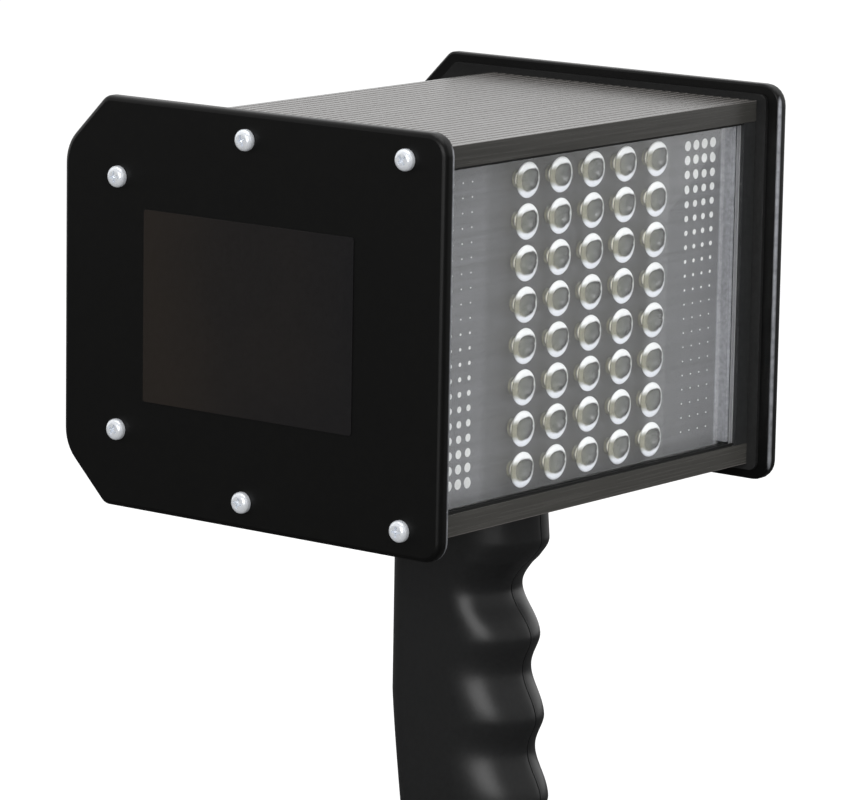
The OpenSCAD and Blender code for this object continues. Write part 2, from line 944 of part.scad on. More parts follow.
// Push button: a crowned cap, a flange that holds it behind the panel and a stem into its switch
module push_button(i, tint) {
    flange_y = panel_in - button_flange_gap - button_flange_t;
    stem_y = control_y + switch_h - switch_hole_d + stem_gap;
    crown = 0.6;
    color(tint)
        in_body()
            translate([button_x[i], 0, button_z])
                rotate([-90, 0, 0])
                    rotate_extrude()
                        polygon([
                            [0, stem_y],
                            [button_stem_r, stem_y],
                            [button_stem_r, flange_y],
                            [button_flange_r, flange_y],
                            [button_flange_r, flange_y + button_flange_t],
                            [button_r, flange_y + button_flange_t],
                            [button_r, panel_y + button_up - crown],
                            [button_r - crown, panel_y + button_up - crown * 0.3],
                            [button_r * 0.5, panel_y + button_up],
                            [0, panel_y + button_up]
                        ]);
}

module halve_button() {
    push_button(0, "gainsboro");
}

module double_button() {
    push_button(1, "gainsboro");
}

module phase_button() {
    push_button(2, "gainsboro");
}

module memory_button() {
    push_button(3, "gainsboro");
}

module external_button() {
    push_button(4, "gainsboro");
}

// Fluted knob with a hollow over the encoder's nut and a pointer groove on its top
module tuning_knob() {
    knob_r = knob_d / 2;
    flute_r = PI * knob_r / knob_flutes * 0.6;
    skirt_t = 2.4;
    color("black")
        in_body()
            translate([knob_x, knob_y, knob_z])
                difference() {
                    rotate([-90, 0, 0])
                        rotate_extrude()
                            polygon([
                                [0, 0],
                                [knob_r, 0],
                                [knob_r, skirt_t - 0.6],
                                [knob_r - 0.6, skirt_t],
                                [knob_r - 1.6, skirt_t],
                                [knob_r - 2.4, knob_h - 1],
                                [knob_r - 3.4, knob_h],
                                [0, knob_h]
                            ]);
                    for (i = [0 : knob_flutes - 1])
                        rotate([0, 360 / knob_flutes * i, 0])
                            translate([knob_r - 1.6, 0, 0])
                                rod_y(flute_r, skirt_t + 0.8, knob_h + 1);
                    rod_y(knob_skirt_r, -eps, knob_skirt_d);
                    rod_y(shaft_r + run_clear, 0, knob_h - knob_top);
                    translate([-0.6, knob_h - 0.6, knob_r * 0.3])
                        cube([1.2, 1, knob_r * 0.45]);
                }
}

module encoder_shaft() {
    color("silver")
        in_body()
            translate([knob_x, 0, knob_z])
                rod_y(shaft_r, control_y + 2, knob_y + knob_h - knob_top - 0.2);
}

module encoder_body() {
    color("slategray")
        in_body()
            translate([knob_x, 0, knob_z])
                difference() {
                    union() {
                        block([-encoder_w / 2, control_y, -encoder_w / 2],
                            [encoder_w / 2, control_y + encoder_t, encoder_w / 2]);
                        rod_y(bushing_r, control_y + encoder_t - eps, panel_y + bushing_out);
                    }
                    rod_y(shaft_r + run_clear, control_y + 1.5, panel_y + bushing_out + eps);
                }
}

module encoder_nut() {
    color("silver")
        in_body()
            translate([knob_x, 0, knob_z])
                difference() {
                    translate([0, panel_y + nut_t, 0])
                        rotate([90, 0, 0])
                            cylinder(r = nut_r, h = nut_t, $fn = 6);
                    rod_y(bushing_r + thread_clear, panel_y - eps, panel_y + nut_t + eps);
                }
}

// Switch housing: a bezel on the panel, an open well for the rocker and two pivot holes
module power_switch_body() {
    half_l = rocker_cavity_l / 2 + switch_wall;
    half_w = rocker_cavity_w / 2 + switch_wall;
    well = panel_y - 8.5;
    color("black")
        in_body()
            translate([rocker_x, 0, rocker_z])
                difference() {
                    union() {
                        block([-half_l - bezel_w, panel_y, -half_w - bezel_w],
                            [half_l + bezel_w, panel_y + bezel_t, half_w + bezel_w]);
                        block([-half_l, panel_y - switch_deep, -half_w], [half_l, panel_y + eps, half_w]);
                    }
                    block([-rocker_cavity_l / 2, well, -rocker_cavity_w / 2],
                        [rocker_cavity_l / 2, panel_y + bezel_t + eps, rocker_cavity_w / 2]);
                    translate([0, pivot_y, -rocker_cavity_w / 2 - pivot_bite])
                        cylinder(r = pivot_r + run_clear, h = rocker_cavity_w + 2 * pivot_bite);
                }
}

// Rocker with two dished faces on a pivot, tilted to its off side
module power_rocker() {
    end_up = pivot_in + bezel_t + 1.6;
    pivot_l = rocker_cavity_w + 2 * pivot_bite - 0.2;
    color("black")
        in_body()
            translate([rocker_x, pivot_y, rocker_z])
                rotate([0, 0, -rocker_tilt]) {
                    translate([0, 0, -rocker_w / 2])
                        linear_extrude(rocker_w)
                            polygon([
                                [-rocker_l / 2, -1.5],
                                [-3, -4],
                                [3, -4],
                                [rocker_l / 2, -1.5],
                                [rocker_l / 2, end_up],
                                [rocker_l / 4, end_up - 1.1],
                                [0, end_up - 1.5],
                                [-rocker_l / 4, end_up - 1.1],
                                [-rocker_l / 2, end_up]
                            ]);
                    translate([0, 0, -pivot_l / 2])
                        cylinder(r = pivot_r, h = pivot_l);
                }
}

// Outline of the mains inlet's opening, with its two lower corners cut off
module inlet_outline() {
    cut = 4;
    polygon([
        [-inlet_w / 2 + cut, -inlet_h / 2],
        [inlet_w / 2 - cut, -inlet_h / 2],
        [inlet_w / 2, -inlet_h / 2 + cut],
        [inlet_w / 2, inlet_h / 2],
        [-inlet_w / 2, inlet_h / 2],
        [-inlet_w / 2, -inlet_h / 2 + cut]
    ]);
}

// Pins of the mains inlet, as [x, z] from its centre
inlet_pin_xz = [[-7, -2], [0, 2], [7, -2]];
pin_size = [2, 4];
inlet_floor = panel_y + inlet_rim_t - inlet_deep;
inlet_base = 3;

module inlet_body() {
    body_w2 = inlet_w / 2 + inlet_wall;
    body_h2 = inlet_h / 2 + inlet_wall;
    color("black")
        in_body()
            translate([inlet_x, 0, inlet_z])
                difference() {
                    union() {
                        block([-body_w2 - inlet_rim / 2, panel_y, -body_h2 - inlet_rim / 2],
                            [body_w2 + inlet_rim / 2, panel_y + inlet_rim_t, body_h2 + inlet_rim / 2]);
                        block([-body_w2, inlet_floor - inlet_base, -body_h2], [body_w2, panel_y + eps, body_h2]);
                    }
                    slab_y(inlet_floor, inlet_deep + eps)
                        inlet_outline();
                    for (p = inlet_pin_xz)
                        translate([p[0], inlet_floor - inlet_base / 2, p[1]])
                            cube([pin_size[0] + slip, inlet_base + 1, pin_size[1] + slip], center = true);
                }
}

module inlet_pins() {
    tab = 5;
    color("silver")
        in_body()
            for (p = inlet_pin_xz)
                translate([inlet_x + p[0], 0, inlet_z + p[1]])
                    block([-pin_size[0] / 2, inlet_floor - inlet_base - tab, -pin_size[1] / 2],
                        [pin_size[0] / 2, inlet_floor + pin_l, pin_size[1] / 2]);
}

// Trigger jack: a block behind the panel and a round neck with the socket
module trigger_jack(x) {
    half = [5.5, 4.75];
    deep = 13;
    color("dimgray")
        in_body()
            translate([x, 0, jack_z])
                difference() {
                    union() {
                        block([-half[0], panel_in - deep, -half[1]], [half[0], panel_in, half[1]]);
                        rod_y(jack_neck_r, panel_in - eps, panel_y + jack_neck_out);
                    }
                    rod_y(jack_d / 2, panel_y + jack_neck_out - jack_deep, panel_y + jack_neck_out + eps);
                }
}

module trigger_input_jack() {
    trigger_jack(jack_x[0]);
}

module trigger_output_jack() {
    trigger_jack(jack_x[1]);
}

module jack_nuts() {
    color("silver")
        in_body()
            for (x = jack_x)
                translate([x, 0, jack_z])
                    difference() {
                        rod_y(jack_nut_r, panel_y, panel_y + jack_nut_t);
                        rod_y(jack_neck_r + thread_clear, panel_y - eps, panel_y + jack_nut_t + eps);
                    }
}

// Runs children at the four stand-offs of an inner board that ends at a rear edge
module at_standoffs(rear) {
    for (x = [-standoff_x, standoff_x])
        for (y = [standoff_front, rear - standoff_rear_in])
            translate([x, y, 0])
                children();
}

// An inner board, from its lower face
module inner_board(z, rear) {
    translate([0, 0, z])
        difference() {
            block([-board_w / 2, board_front, 0], [board_w / 2, rear, board_t]);
            at_standoffs(rear)
                translate([0, 0, -eps])
                    cylinder(r = small_r + hole_clear, h = board_t + 2 * eps);
        }
}

module driver_board() {
    color("darkgreen")
        in_body()
            inner_board(driver_z - board_t, board_rear);
}

module supply_board() {
    color("darkgreen")
        in_body()
            inner_board(supply_z, supply_rear);
}

module board_standoffs() {
    color("goldenrod")
        in_body()
            for (side = [0, 1])
                mirror([0, 0, side])
                    at_standoffs(side == 0 ? board_rear : supply_rear)
                        translate([0, 0, driver_z])
                            difference() {
                                cylinder(r = standoff_d / 2, h = standoff_l);
                                translate([0, 0, -eps])
                                    cylinder(r = small_r + thread_clear, h = 7);
                            }
}

module board_screws() {
    color("silver")
        in_body()
            for (side = [0, 1])
                mirror([0, 0, side])
                    at_standoffs(side == 0 ? board_rear : supply_rear)
                        translate([0, 0, driver_z - board_t])
                            rotate([0, 90, 0])
                                pan_screw(small_r, small_r * 1.9, 1.6, board_t + 5);
}

// Can capacitor standing on z = 0, with its crimped waist and its score-marked top
module can_capacitor(d, h) {
    rotate_extrude()
        polygon([
            [0, 0],
            [d / 2 - 0.4, 0],
            [d / 2, 0.4],
            [d / 2, 2],
            [d / 2 - 0.5, 2.6],
            [d / 2, 3.2],
            [d / 2, h - 0.6],
            [d / 2 - 0.6, h],
            [0, h]
        ]);
}

module driver_capacitors() {
    color("midnightblue")
        in_body()
            for (x = driver_part_x)
                translate([x, store_y, driver_z - board_t])
                    mirror([0, 0, 1])
                        can_capacitor(store_cap_d, store_cap_h);
}

// Drum inductor: two flanges on a wound middle
module driver_inductors() {
    r = inductor_d / 2;
    flange = inductor_h * 0.13;
    step = inductor_h * 0.05;
    color("saddlebrown")
        in_body()
            for (x = driver_part_x)
                translate([x, coil_y, driver_z - board_t])
                    mirror([0, 0, 1])
                        rotate_extrude()
                            polygon([
                                [0, 0],
                                [r, 0],
                                [r, flange],
                                [r - 2 * step, flange + step],
                                [r - 2 * step, inductor_h - flange - step],
                                [r, inductor_h - flange],
                                [r, inductor_h],
                                [0, inductor_h]
                            ]);
}

// Power transistors with their metal tabs, standing along the board's front edge
module driver_transistors() {
    half_w = transistor_w / 2;
    half_t = transistor_w * 0.22;
    tab_t = transistor_w * 0.13;
    foot = transistor_h * 0.12;
    neck = transistor_h * 0.65;
    lead_w = transistor_w * 0.08;
    color("dimgray")
        in_body()
            for (x = transistor_x)
                translate([x, transistor_y, driver_z - board_t])
                    mirror([0, 0, 1]) {
                        block([-half_w, -half_t, foot], [half_w, half_t, neck]);
                        block([-half_w, -half_t, neck - eps], [half_w, tab_t - half_t, transistor_h]);
                        for (k = [-1, 0, 1])
                            translate([k * half_w / 2, 0, 0])
                                block([-lead_w / 2, -lead_w / 2, 0], [lead_w / 2, lead_w / 2, foot + eps]);
                    }
}

// Transformer: a core with its winding showing between the limbs
module supply_transformer() {
    half_w = transformer_w / 2;
    base_w = half_w * 0.9;
    base_d = transformer_w * 0.375;
    base_t = transformer_h * 0.1;
    core_d = transformer_w * 0.15;
    winding_r = transformer_w * 0.35;
    winding_low = base_t + transformer_h / 6;
    winding_top = transformer_h * 5 / 6;
    color("peru")
        in_body()
            translate([-transformer_w * 0.375, transformer_y, supply_z + board_t]) {
                block([-base_w, -base_d, 0], [base_w, base_d, base_t]);
                difference() {
                    block([-half_w, -core_d, base_t - eps], [half_w, core_d, transformer_h]);
                    block([-winding_r, -core_d - eps, winding_low], [winding_r, core_d + eps, winding_top]);
                }
                translate([0, 0, winding_low - eps])
                    intersection() {
                        cylinder(r = winding_r, h = winding_top - winding_low + 2 * eps);
                        block(
                            [0.4 - winding_r, -winding_r, 0],
                            [winding_r - 0.4, winding_r, transformer_h]);
                    }
            }
}

module supply_capacitor() {
    color("midnightblue")
        in_body()
            translate([board_col * 1.5, bulk_y, supply_z + board_t])
                can_capacitor(bulk_cap_d, bulk_cap_h);
}

// Toroid choke standing on a base
module supply_choke() {
    half_w = choke_d * 0.52;
    half_d = choke_d * 0.32;
    base_t = choke_d * 0.1;
    ring_h = choke_d * 0.52;
    color("darkolivegreen")
        in_body()
            translate([board_col * 1.6, choke_y, supply_z + board_t]) {
                block([-half_w, -half_d, 0], [half_w, half_d, base_t]);
                translate([0, 0, base_t - eps])
                    difference() {
                        cylinder(r = choke_d / 2, h = ring_h);
                        translate([0, 0, -eps])
                            cylinder(r = choke_d * 0.21, h = ring_h + 3 * eps);
                    }
            }
}

// Finned heat sink along the supply board's front edge
module supply_heat_sink() {
    fin_n = 7;
    fin_t = 1.2;
    fin_d = 4;
    back_t = 2;
    fin_pitch = (sink_w - 6) / (fin_n - 1);
    color("lightgray")
        in_body()
            translate([-board_col / 2, sink_y, supply_z + board_t]) {
                block([-sink_w / 2, -back_t, 0], [sink_w / 2, 0, sink_h]);
                for (i = [0 : fin_n - 1])
                    translate([(i - (fin_n - 1) / 2) * fin_pitch, 0, 0])
                        block([-fin_t / 2, -eps, 0], [fin_t / 2, fin_d, sink_h]);
            }
}

// Ribbon cable: one bend from the control board's back up to the driver board's underside
module ribbon_cable() {
    ribbon_t = 1;
    ribbon_w = 20;
    start = control_y - board_t;
    ceiling = driver_z - board_t;
    color("lightgray")
        in_body()
            along_x(ribbon_w)
                translate([start, ceiling])
                    intersection() {
                        difference() {
                            circle(r = ribbon_bend + ribbon_t);
                            circle(r = ribbon_bend);
                        }
                        translate([-2 * ribbon_bend, -2 * ribbon_bend])
                            square(2 * ribbon_bend);
                    }
}

// A lead that runs back along +Y from z = 0, then bends by a quarter turn towards +Z
module bent_lead(run, bend) {
    rod_y(lead_d / 2, 0, run);
    translate([0, run, bend])
        rotate([0, 90, 0])
            rotate_extrude(angle = 90)
                translate([bend, 0])
                    circle(r = lead_d / 2);
}

module led_leads() {
    bend = driver_z - board_t - lead_z;
    color("firebrick")
        in_body()
            for (x = [-2.5, 2.5])
                translate([x, spreader_y, lead_z])
                    bent_lead(spreader_t + 9, bend);
}

module mains_leads() {
    tab_y = inlet_floor - inlet_base - 5;
    low = inlet_z + inlet_pin_xz[0][1];
    bend = low - (supply_z + board_t);
    color("saddlebrown")
        in_body()
            for (i = [0, 2])
                translate([inlet_x + inlet_pin_xz[i][0], tab_y, low])
                    rotate([0, 0, 180])
                        mirror([0, 0, 1])
                            bent_lead(4, bend);
}

// Front and rear of the grip at a height above the foot
function ramp(t) = t <= 0 ? 0 : t >= 1 ? 1 : t * t * (3 - 2 * t);
function groove(z) =
    let (
        t = (first_z + finger_fall - z) / finger_pitch,
        part = t - floor(t),
        skew = ln(0.5) / ln(finger_fall / finger_pitch)
    )
    t < 0 || t > finger_n ? 0 : (1 - cos(360 * pow(part, skew))) / 2;
function grip_front(z) =
    let (depth = finger_depth + (z > first_z + finger_fall - finger_pitch ? first_deep : 0))
    -front_reach - front_lean * (grip_l - z) + depth * groove(z) - hilt_out * ramp((z - hilt_z) / hilt_l);
function grip_rear(z) = rear_reach - rear_tuck * pow(max(0, 1 - z / rear_tuck_z), 1.2);

// Half of the grip's section at a height, from the front round the +X flank to the rear
front_steps = 8;
rear_steps = 3;
function half_section(z, inset) =
    let (
        side = grip_w / 2 - inset,
        front = grip_front(z) + inset,
        rear = grip_rear(z) - inset,
        r = grip_rear_r - inset * 0.8,
        start = seam / 2,
        scoop = scoop_y + scoop_run * groove(z)
    )
    concat(
        [for (i = [0 : front_steps])
            let (a = 90 * i / front_steps)
            [start + (side - start) * sin(a), scoop - (scoop - front) * cos(a)]],
        [for (i = [0 : rear_steps])
            let (a = 90 * i / rear_steps)
            [side - r + r * cos(a), rear - r + r * sin(a)]],
        [[start, rear]]
    );
function backwards(list) = [for (i = [len(list) - 1 : -1 : 0]) list[i]];

// A closed solid through rings that climb with z. A ring's first half runs out and its second half runs
// back beside it, so its ends close with one quad between each pair of facing points.
module loft(rings) {
    n = len(rings[0]);
    top = (len(rings) - 1) * n;
    points = [for (ring = rings) for (p = ring) p];
    polyhedron(points, concat(
        [for (i = [0 : n / 2 - 2]) [i, i + 1, n - 2 - i, n - 1 - i]],
        [for (i = [0 : n / 2 - 2]) [top + n - 1 - i, top + n - 2 - i, top + i + 1, top + i]],
        [for (k = [0 : len(rings) - 2]) for (i = [0 : n - 1])
            let (a = k * n + i, b = k * n + (i + 1) % n)
            each [[a, a + n, b], [b, a + n, b + n]]]
    ));
}

// Half shell on the +X side
module grip_shell() {
    ring_n = 48;
    rings = [for (k = [0 : ring_n])
        let (z = shell_low + (shell_top - shell_low) * k / ring_n)
        [for (p = concat(half_section(z, 0), backwards(half_section(z, grip_wall)))) [p[0], p[1], z]]];
    loft(rings);
}

// Bosses inside the +X shell that meet the core
module shell_bosses() {
    for (z = grip_screw_z)
        translate([0, grip_screw_y, z])
            rod_x(grip_boss_r, core_w / 2 + slip, grip_w / 2 - grip_wall + 0.5);
}

module right_grip_shell() {
    color("black")
        difference() {
            union() {
                grip_shell();
                shell_bosses();
            }
            for (z = grip_screw_z)
                translate([0, grip_screw_y, z]) {
                    rod_x(small_r + hole_clear, 0, grip_w);
                    rod_x(grip_head_r + hole_clear, grip_w / 2 - grip_recess, grip_w);
                }
        }
}

module left_grip_shell() {
    color("black")
        mirror([1, 0, 0])
            difference() {
                union() {
                    grip_shell();
                    shell_bosses();
                }
                for (z = grip_screw_z)
                    translate([0, grip_screw_y, z])
                        rod_x(small_r + thread_clear, 0, grip_w / 2 - 1);
            }
}

// Cast core of the grip: tapered at both edges, with a pocket in each flank between the screws
module grip_core() {
    pocket_d = 4;
    pocket_margin = 8;
    color("darkgray")
        difference() {
            along_x(core_w)
                polygon([
                    [core_toe, core_low],
                    [core_heel, core_low],
                    [core_rear, grip_l * 0.42],
                    [core_rear, core_top],
                    [core_front, core_top],
                    [core_front, grip_l * 0.42],
                    [core_toe, grip_l * 0.2]
                ]);
            for (i = [0, 1])
                for (side = [0, 1])
                    mirror([side, 0, 0])
                        block(
                            [core_w / 2 - pocket_d, core_front + 3, grip_screw_z[i] + pocket_margin],
                            [core_w / 2 + eps, core_rear - 3, grip_screw_z[i + 1] - pocket_margin]);
            for (z = grip_screw_z)
                translate([0, grip_screw_y, z])
                    rod_x(small_r + hole_clear, -core_w, core_w);
            for (y = bolt_y)
                translate([0, y, core_top - bolt_l])
                    cylinder(r = bolt_r + thread_clear, h = bolt_l + eps);
            translate([0, 0, core_low - eps])
                cylinder(r = bush_r + thread_clear, h = bush_l - core_low + 0.3);
        }
}

module grip_bolts() {
    color("silver")
        for (y = bolt_y)
            translate([0, y, grip_l + wall])
                rotate([0, -90, 0])
                    pan_screw(bolt_r, bolt_head_r, bolt_head_h, bolt_l);
}

module grip_screws() {
    color("silver")
        for (z = grip_screw_z)
            translate([grip_w / 2 - grip_recess, grip_screw_y, z])
                pan_screw(small_r, grip_head_r, grip_head_h, grip_w - grip_recess - 2);
}

// Foot under the shells: the grip's section with its lower edge rounded
module grip_foot() {
    edge = 1.6;
    slice = 0.1;
    levels = [[0, edge], [edge * 0.3, edge * 0.3], [edge, 0], [foot_h - slice, 0]];
    color("black")
        difference() {
            hull()
                for (level = levels)
                    let (half = half_section(level[0], level[1]))
                    translate([0, 0, level[0]])
                        linear_extrude(slice)
                            polygon(concat(half, backwards([for (p = half) [-p[0], p[1]]])));
            translate([0, 0, -eps])
                cylinder(r = bush_flange_r + hole_clear, h = bush_flange_t + eps);
            cylinder(r = bush_r + hole_clear, h = foot_h + 1);
        }
}

// Flanged bush that holds the foot to the core and takes the tripod's screw
module tripod_bush() {
    color("goldenrod")
        difference() {
            union() {
                cylinder(r = bush_flange_r, h = bush_flange_t);
                cylinder(r = bush_r, h = bush_l);
            }
            translate([0, 0, -eps])
                cylinder(r = bush_hole_r, h = bush_hole_l + eps);
        }
}

upper_extrusion();
lower_extrusion();
left_end_cap();
right_end_cap();
left_end_plate();
right_end_plate();
end_plate_screws();
window_pane();
window_seals();
face_plate();
collimator_lenses();
led_emitters();
led_board();
led_board_screws();
heat_spreader();
rear_panel();
display_window();
display_module();
control_board();
control_board_spacers();
button_switches();
halve_button();
double_button();
phase_button();
memory_button();
external_button();
tuning_knob();
encoder_shaft();
encoder_body();
encoder_nut();
power_switch_body();
power_rocker();
inlet_body();
inlet_pins();
trigger_input_jack();
trigger_output_jack();
jack_nuts();
driver_board();
driver_capacitors();
driver_inductors();
driver_transistors();
supply_board();
supply_transformer();
supply_capacitor();
supply_choke();
supply_heat_sink();
board_standoffs();
board_screws();
ribbon_cable();
led_leads();
mains_leads();
left_grip_shell();
right_grip_shell();
grip_core();
grip_bolts();
grip_screws();
grip_foot();
tripod_bush();
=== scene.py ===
import json
import math

import bmesh
import bpy
from mathutils import Matrix, Vector


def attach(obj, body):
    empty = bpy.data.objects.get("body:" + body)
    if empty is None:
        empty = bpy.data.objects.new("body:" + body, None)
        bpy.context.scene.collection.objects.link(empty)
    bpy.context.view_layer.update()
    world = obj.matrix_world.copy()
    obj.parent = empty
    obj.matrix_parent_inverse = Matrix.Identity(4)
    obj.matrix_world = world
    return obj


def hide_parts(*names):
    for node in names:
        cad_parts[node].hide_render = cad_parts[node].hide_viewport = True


# Looks of the hand-held LED stroboscope: finishes, fine parts and studio.
# The frame is in metres, +Z up, and the window faces -Y. Sizes of pieces are named in millimetres,
# and places inside a finish are in the frame's metres.
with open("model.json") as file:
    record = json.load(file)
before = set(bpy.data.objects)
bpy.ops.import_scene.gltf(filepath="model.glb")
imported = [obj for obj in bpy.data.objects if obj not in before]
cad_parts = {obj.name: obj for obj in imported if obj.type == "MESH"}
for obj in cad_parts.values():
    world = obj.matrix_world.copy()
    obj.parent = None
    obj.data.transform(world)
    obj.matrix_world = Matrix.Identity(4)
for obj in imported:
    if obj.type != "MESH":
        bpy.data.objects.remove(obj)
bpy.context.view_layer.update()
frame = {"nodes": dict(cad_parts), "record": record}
NODES = frame["nodes"]

MM = 0.001
BODY = "stroboscope"
# Centre of the body, seen from the mouth of the tripod bush
CENTRE = Vector((0.0, 22.0, 172.0)) * MM
# Points closer than this, in metres, are one point
MERGE = 1e-6


# Node trees

# Range that most of a grain's values lie in
GRAIN_LOW, GRAIN_HIGH = 0.3, 0.7


def join(tree, value, socket):
    """Links a socket, or sets a plain value, into an input."""
    if isinstance(value, bpy.types.NodeSocket):
        tree.links.new(value, socket)
    else:
        socket.default_value = value


def join_all(tree, node, inputs):
    """Fills a node's inputs by name. An underscore in a name stands for a space."""
    for key, value in inputs.items():
        join(tree, value, node.inputs[key.replace("_", " ")])


def add(tree, kind, props=None, **inputs):
    """One new node with its settings and inputs."""
    made = tree.nodes.new("ShaderNode" + kind)
    for key, value in (props or {}).items():
        setattr(made, key, value)
    join_all(tree, made, inputs)
    return made


def new_finish(name):
    """An empty material, with its tree and the object's own coordinates."""
    material = bpy.data.materials.new(name)
    material.use_nodes = True
    tree = material.node_tree
    return material, tree, add(tree, "TexCoord").outputs["Object"]


def shade(tree, **inputs):
    """Fills inputs of a material's Principled shader."""
    join_all(tree, tree.nodes["Principled BSDF"], inputs)


def grain(tree, place, scale, detail=3.0, stretch=(1, 1, 1), soft=0.5):
    """Noise of about 1/scale metres, stretched along the axes."""
    mapped = add(tree, "Mapping", Vector=place, Scale=stretch).outputs["Vector"]
    noise = add(tree, "TexNoise", Vector=mapped, Scale=scale, Detail=detail, Roughness=soft)
    return noise.outputs["Fac"]


def shades(tree, fac, stops):
    """A colour ramp from (position, colour) stops."""
    made = add(tree, "ValToRGB", Fac=fac)
    ramp = made.color_ramp
    while len(ramp.elements) < len(stops):
        ramp.elements.new(0.5)
    for element, (at, colour) in zip(ramp.elements, stops):
        element.position = at
        element.color = (*colour, 1.0)
    return made.outputs["Color"]


def two_tone(tree, fac, low, high):
    """A grain between two colours."""
    return shades(tree, fac, [(GRAIN_LOW, low), (GRAIN_HIGH, high)])


def between(tree, value, low, high, to_low, to_high):
    """Maps a value's range to another, clamped."""
    made = add(tree, "MapRange", Value=value, From_Min=low, From_Max=high,
               To_Min=to_low, To_Max=to_high)
    return made.outputs["Result"]


def rise(tree, value, low, high):
    """0 up to low and 1 from high on."""
    return between(tree, value, low, high, 0.0, 1.0)


def fall(tree, value, low, high):
    """1 up to low and 0 from high on."""
    return between(tree, value, low, high, 1.0, 0.0)


def vary(tree, fac, low, high):
    """A grain between two values."""
    return between(tree, fac, GRAIN_LOW, GRAIN_HIGH, low, high)


def maths(tree, operation, a, b=0.0):
    made = add(tree, "Math", {"operation": operation})
    join(tree, a, made.inputs[0])
    join(tree, b, made.inputs[1])
    return made.outputs[0]


def plus(tree, a, b):
    return maths(tree, "ADD", a, b)


def times(tree, first, *others):
    for other in others:
        first = maths(tree, "MULTIPLY", first, other)
    return first


def size_of(tree, value):
    return maths(tree, "ABSOLUTE", value)


def axes_of(tree, vector):
    """The X, Y and Z of a vector."""
    return add(tree, "SeparateXYZ", Vector=vector).outputs


def scaled(tree, vector, factor):
    made = add(tree, "VectorMath", {"operation": "SCALE"}, Vector=vector, Scale=factor)
    return made.outputs["Vector"]


def reach_along(tree, vector, way):
    """How far a vector goes along a way."""
    made = add(tree, "VectorMath", {"operation": "DOT_PRODUCT"}, Vector=vector)
    made.inputs[1].default_value = way
    return made.outputs["Value"]


def blend_colours(tree, fac, a, b):
    made = add(tree, "Mix", {"data_type": "RGBA"})
    join(tree, fac, made.inputs["Factor"])
    join(tree, a, made.inputs[6])
    join(tree, b, made.inputs[7])
    return made.outputs[2]


def relief(tree, height, strength, depth):
    """A fine bump from a grain, its depth in metres."""
    return add(tree, "Bump", Strength=strength, Distance=depth, Height=height).outputs["Normal"]


def tint(colour, factor):
    return tuple(min(1.0, c * factor) for c in colour)


# Finishes

ALONG_X = (0.02, 1.0, 1.0)
# The fine grain of a plain surface against its coarse one, and the share by which its gloss varies
CLOSE_GRAIN, GLOSS_SPREAD = 6.0, 0.14


def surface(name, colour, rough, spread=0.12, scale=350.0, stretch=(1, 1, 1), bump=0.15,
            depth=0.00004, specular=0.5, metallic=0.0):
    """A solid finish whose colour, gloss and relief vary with one coarse and one fine grain."""
    material, tree, place = new_finish(name)
    coarse = grain(tree, place, scale, 4.0, stretch)
    close = grain(tree, place, scale * CLOSE_GRAIN, 2.0, stretch)
    dull = min(1.0, rough * (1 + GLOSS_SPREAD))
    shade(tree, Metallic=metallic, Specular_IOR_Level=specular,
          Base_Color=two_tone(tree, coarse, tint(colour, 1 - spread), tint(colour, 1 + spread)),
          Roughness=vary(tree, close, rough * (1 - GLOSS_SPREAD), dull),
          Normal=relief(tree, close, bump, depth))
    return material


ACRYLIC_IOR = 1.49
ACRYLIC, ACRYLIC_SHADE = (0.97, 0.98, 0.985, 1.0), (0.94, 0.95, 0.95, 1.0)


def clear_pane():
    """Clear acrylic sheet. Lamps reach through it, and faint wiping marks change its gloss."""
    material, tree, place = new_finish("clear_acrylic")
    wiped = grain(tree, place, 60.0, 3.0, (0.3, 1.0, 1.0))
    shade(tree, Base_Color=ACRYLIC, Transmission_Weight=1.0, IOR=ACRYLIC_IOR,
          Roughness=between(tree, wiped, 0.4, 0.7, 0.0, 0.02))
    lamps = add(tree, "LightPath").outputs["Is Shadow Ray"]
    mixed = add(tree, "MixShader", Fac=lamps)
    join(tree, tree.nodes["Principled BSDF"].outputs["BSDF"], mixed.inputs[1])
    join(tree, add(tree, "BsdfTransparent", Color=ACRYLIC_SHADE).outputs["BSDF"], mixed.inputs[2])
    join(tree, mixed.outputs["Shader"], tree.nodes["Material Output"].inputs["Surface"])
    return material


# Tones of the face sheet from its left end to its right end: painted shade where the lenses stand,
# and painted light on the bright fold at the right cap
SHEET_HALF = 0.07
SHEET_PAINTED_SHADE_TONES = [
    (0.0, (0.150, 0.150, 0.158)), (0.18, (0.138, 0.138, 0.145)), (0.205, (0.090, 0.090, 0.094)),
    (0.72, (0.084, 0.084, 0.087)), (0.745, (0.165, 0.165, 0.170)), (0.79, (0.160, 0.160, 0.165)),
    (0.797, (0.122, 0.122, 0.127)), (0.970, (0.122, 0.122, 0.129)), (0.974, (0.35, 0.35, 0.37))]


def face_sheet():
    """Grey sheet behind the lenses: brushed along X, with painted shade where the lenses stand and
    painted light on its fold at the right cap.
    """
    material, tree, place = new_finish("brushed_face_sheet")
    brushed = grain(tree, place, 900.0, 3.0, (0.012, 1.0, 1.0))
    clouds = grain(tree, place, 30.0, 2.0)
    streaks = between(tree, brushed, 0.25, 0.75, 0.78, 1.22)
    along = rise(tree, axes_of(tree, place)["X"], -SHEET_HALF, SHEET_HALF)
    # Painted shade across the lens zone and painted light on the fold, by place along X
    tone = shades(tree, along, SHEET_PAINTED_SHADE_TONES)
    shade(tree, Base_Color=scaled(tree, tone, times(tree, streaks, vary(tree, clouds, 0.92, 1.08))),
          Roughness=vary(tree, brushed, 0.30, 0.5), Normal=relief(tree, brushed, 0.2, 0.00003))
    return material


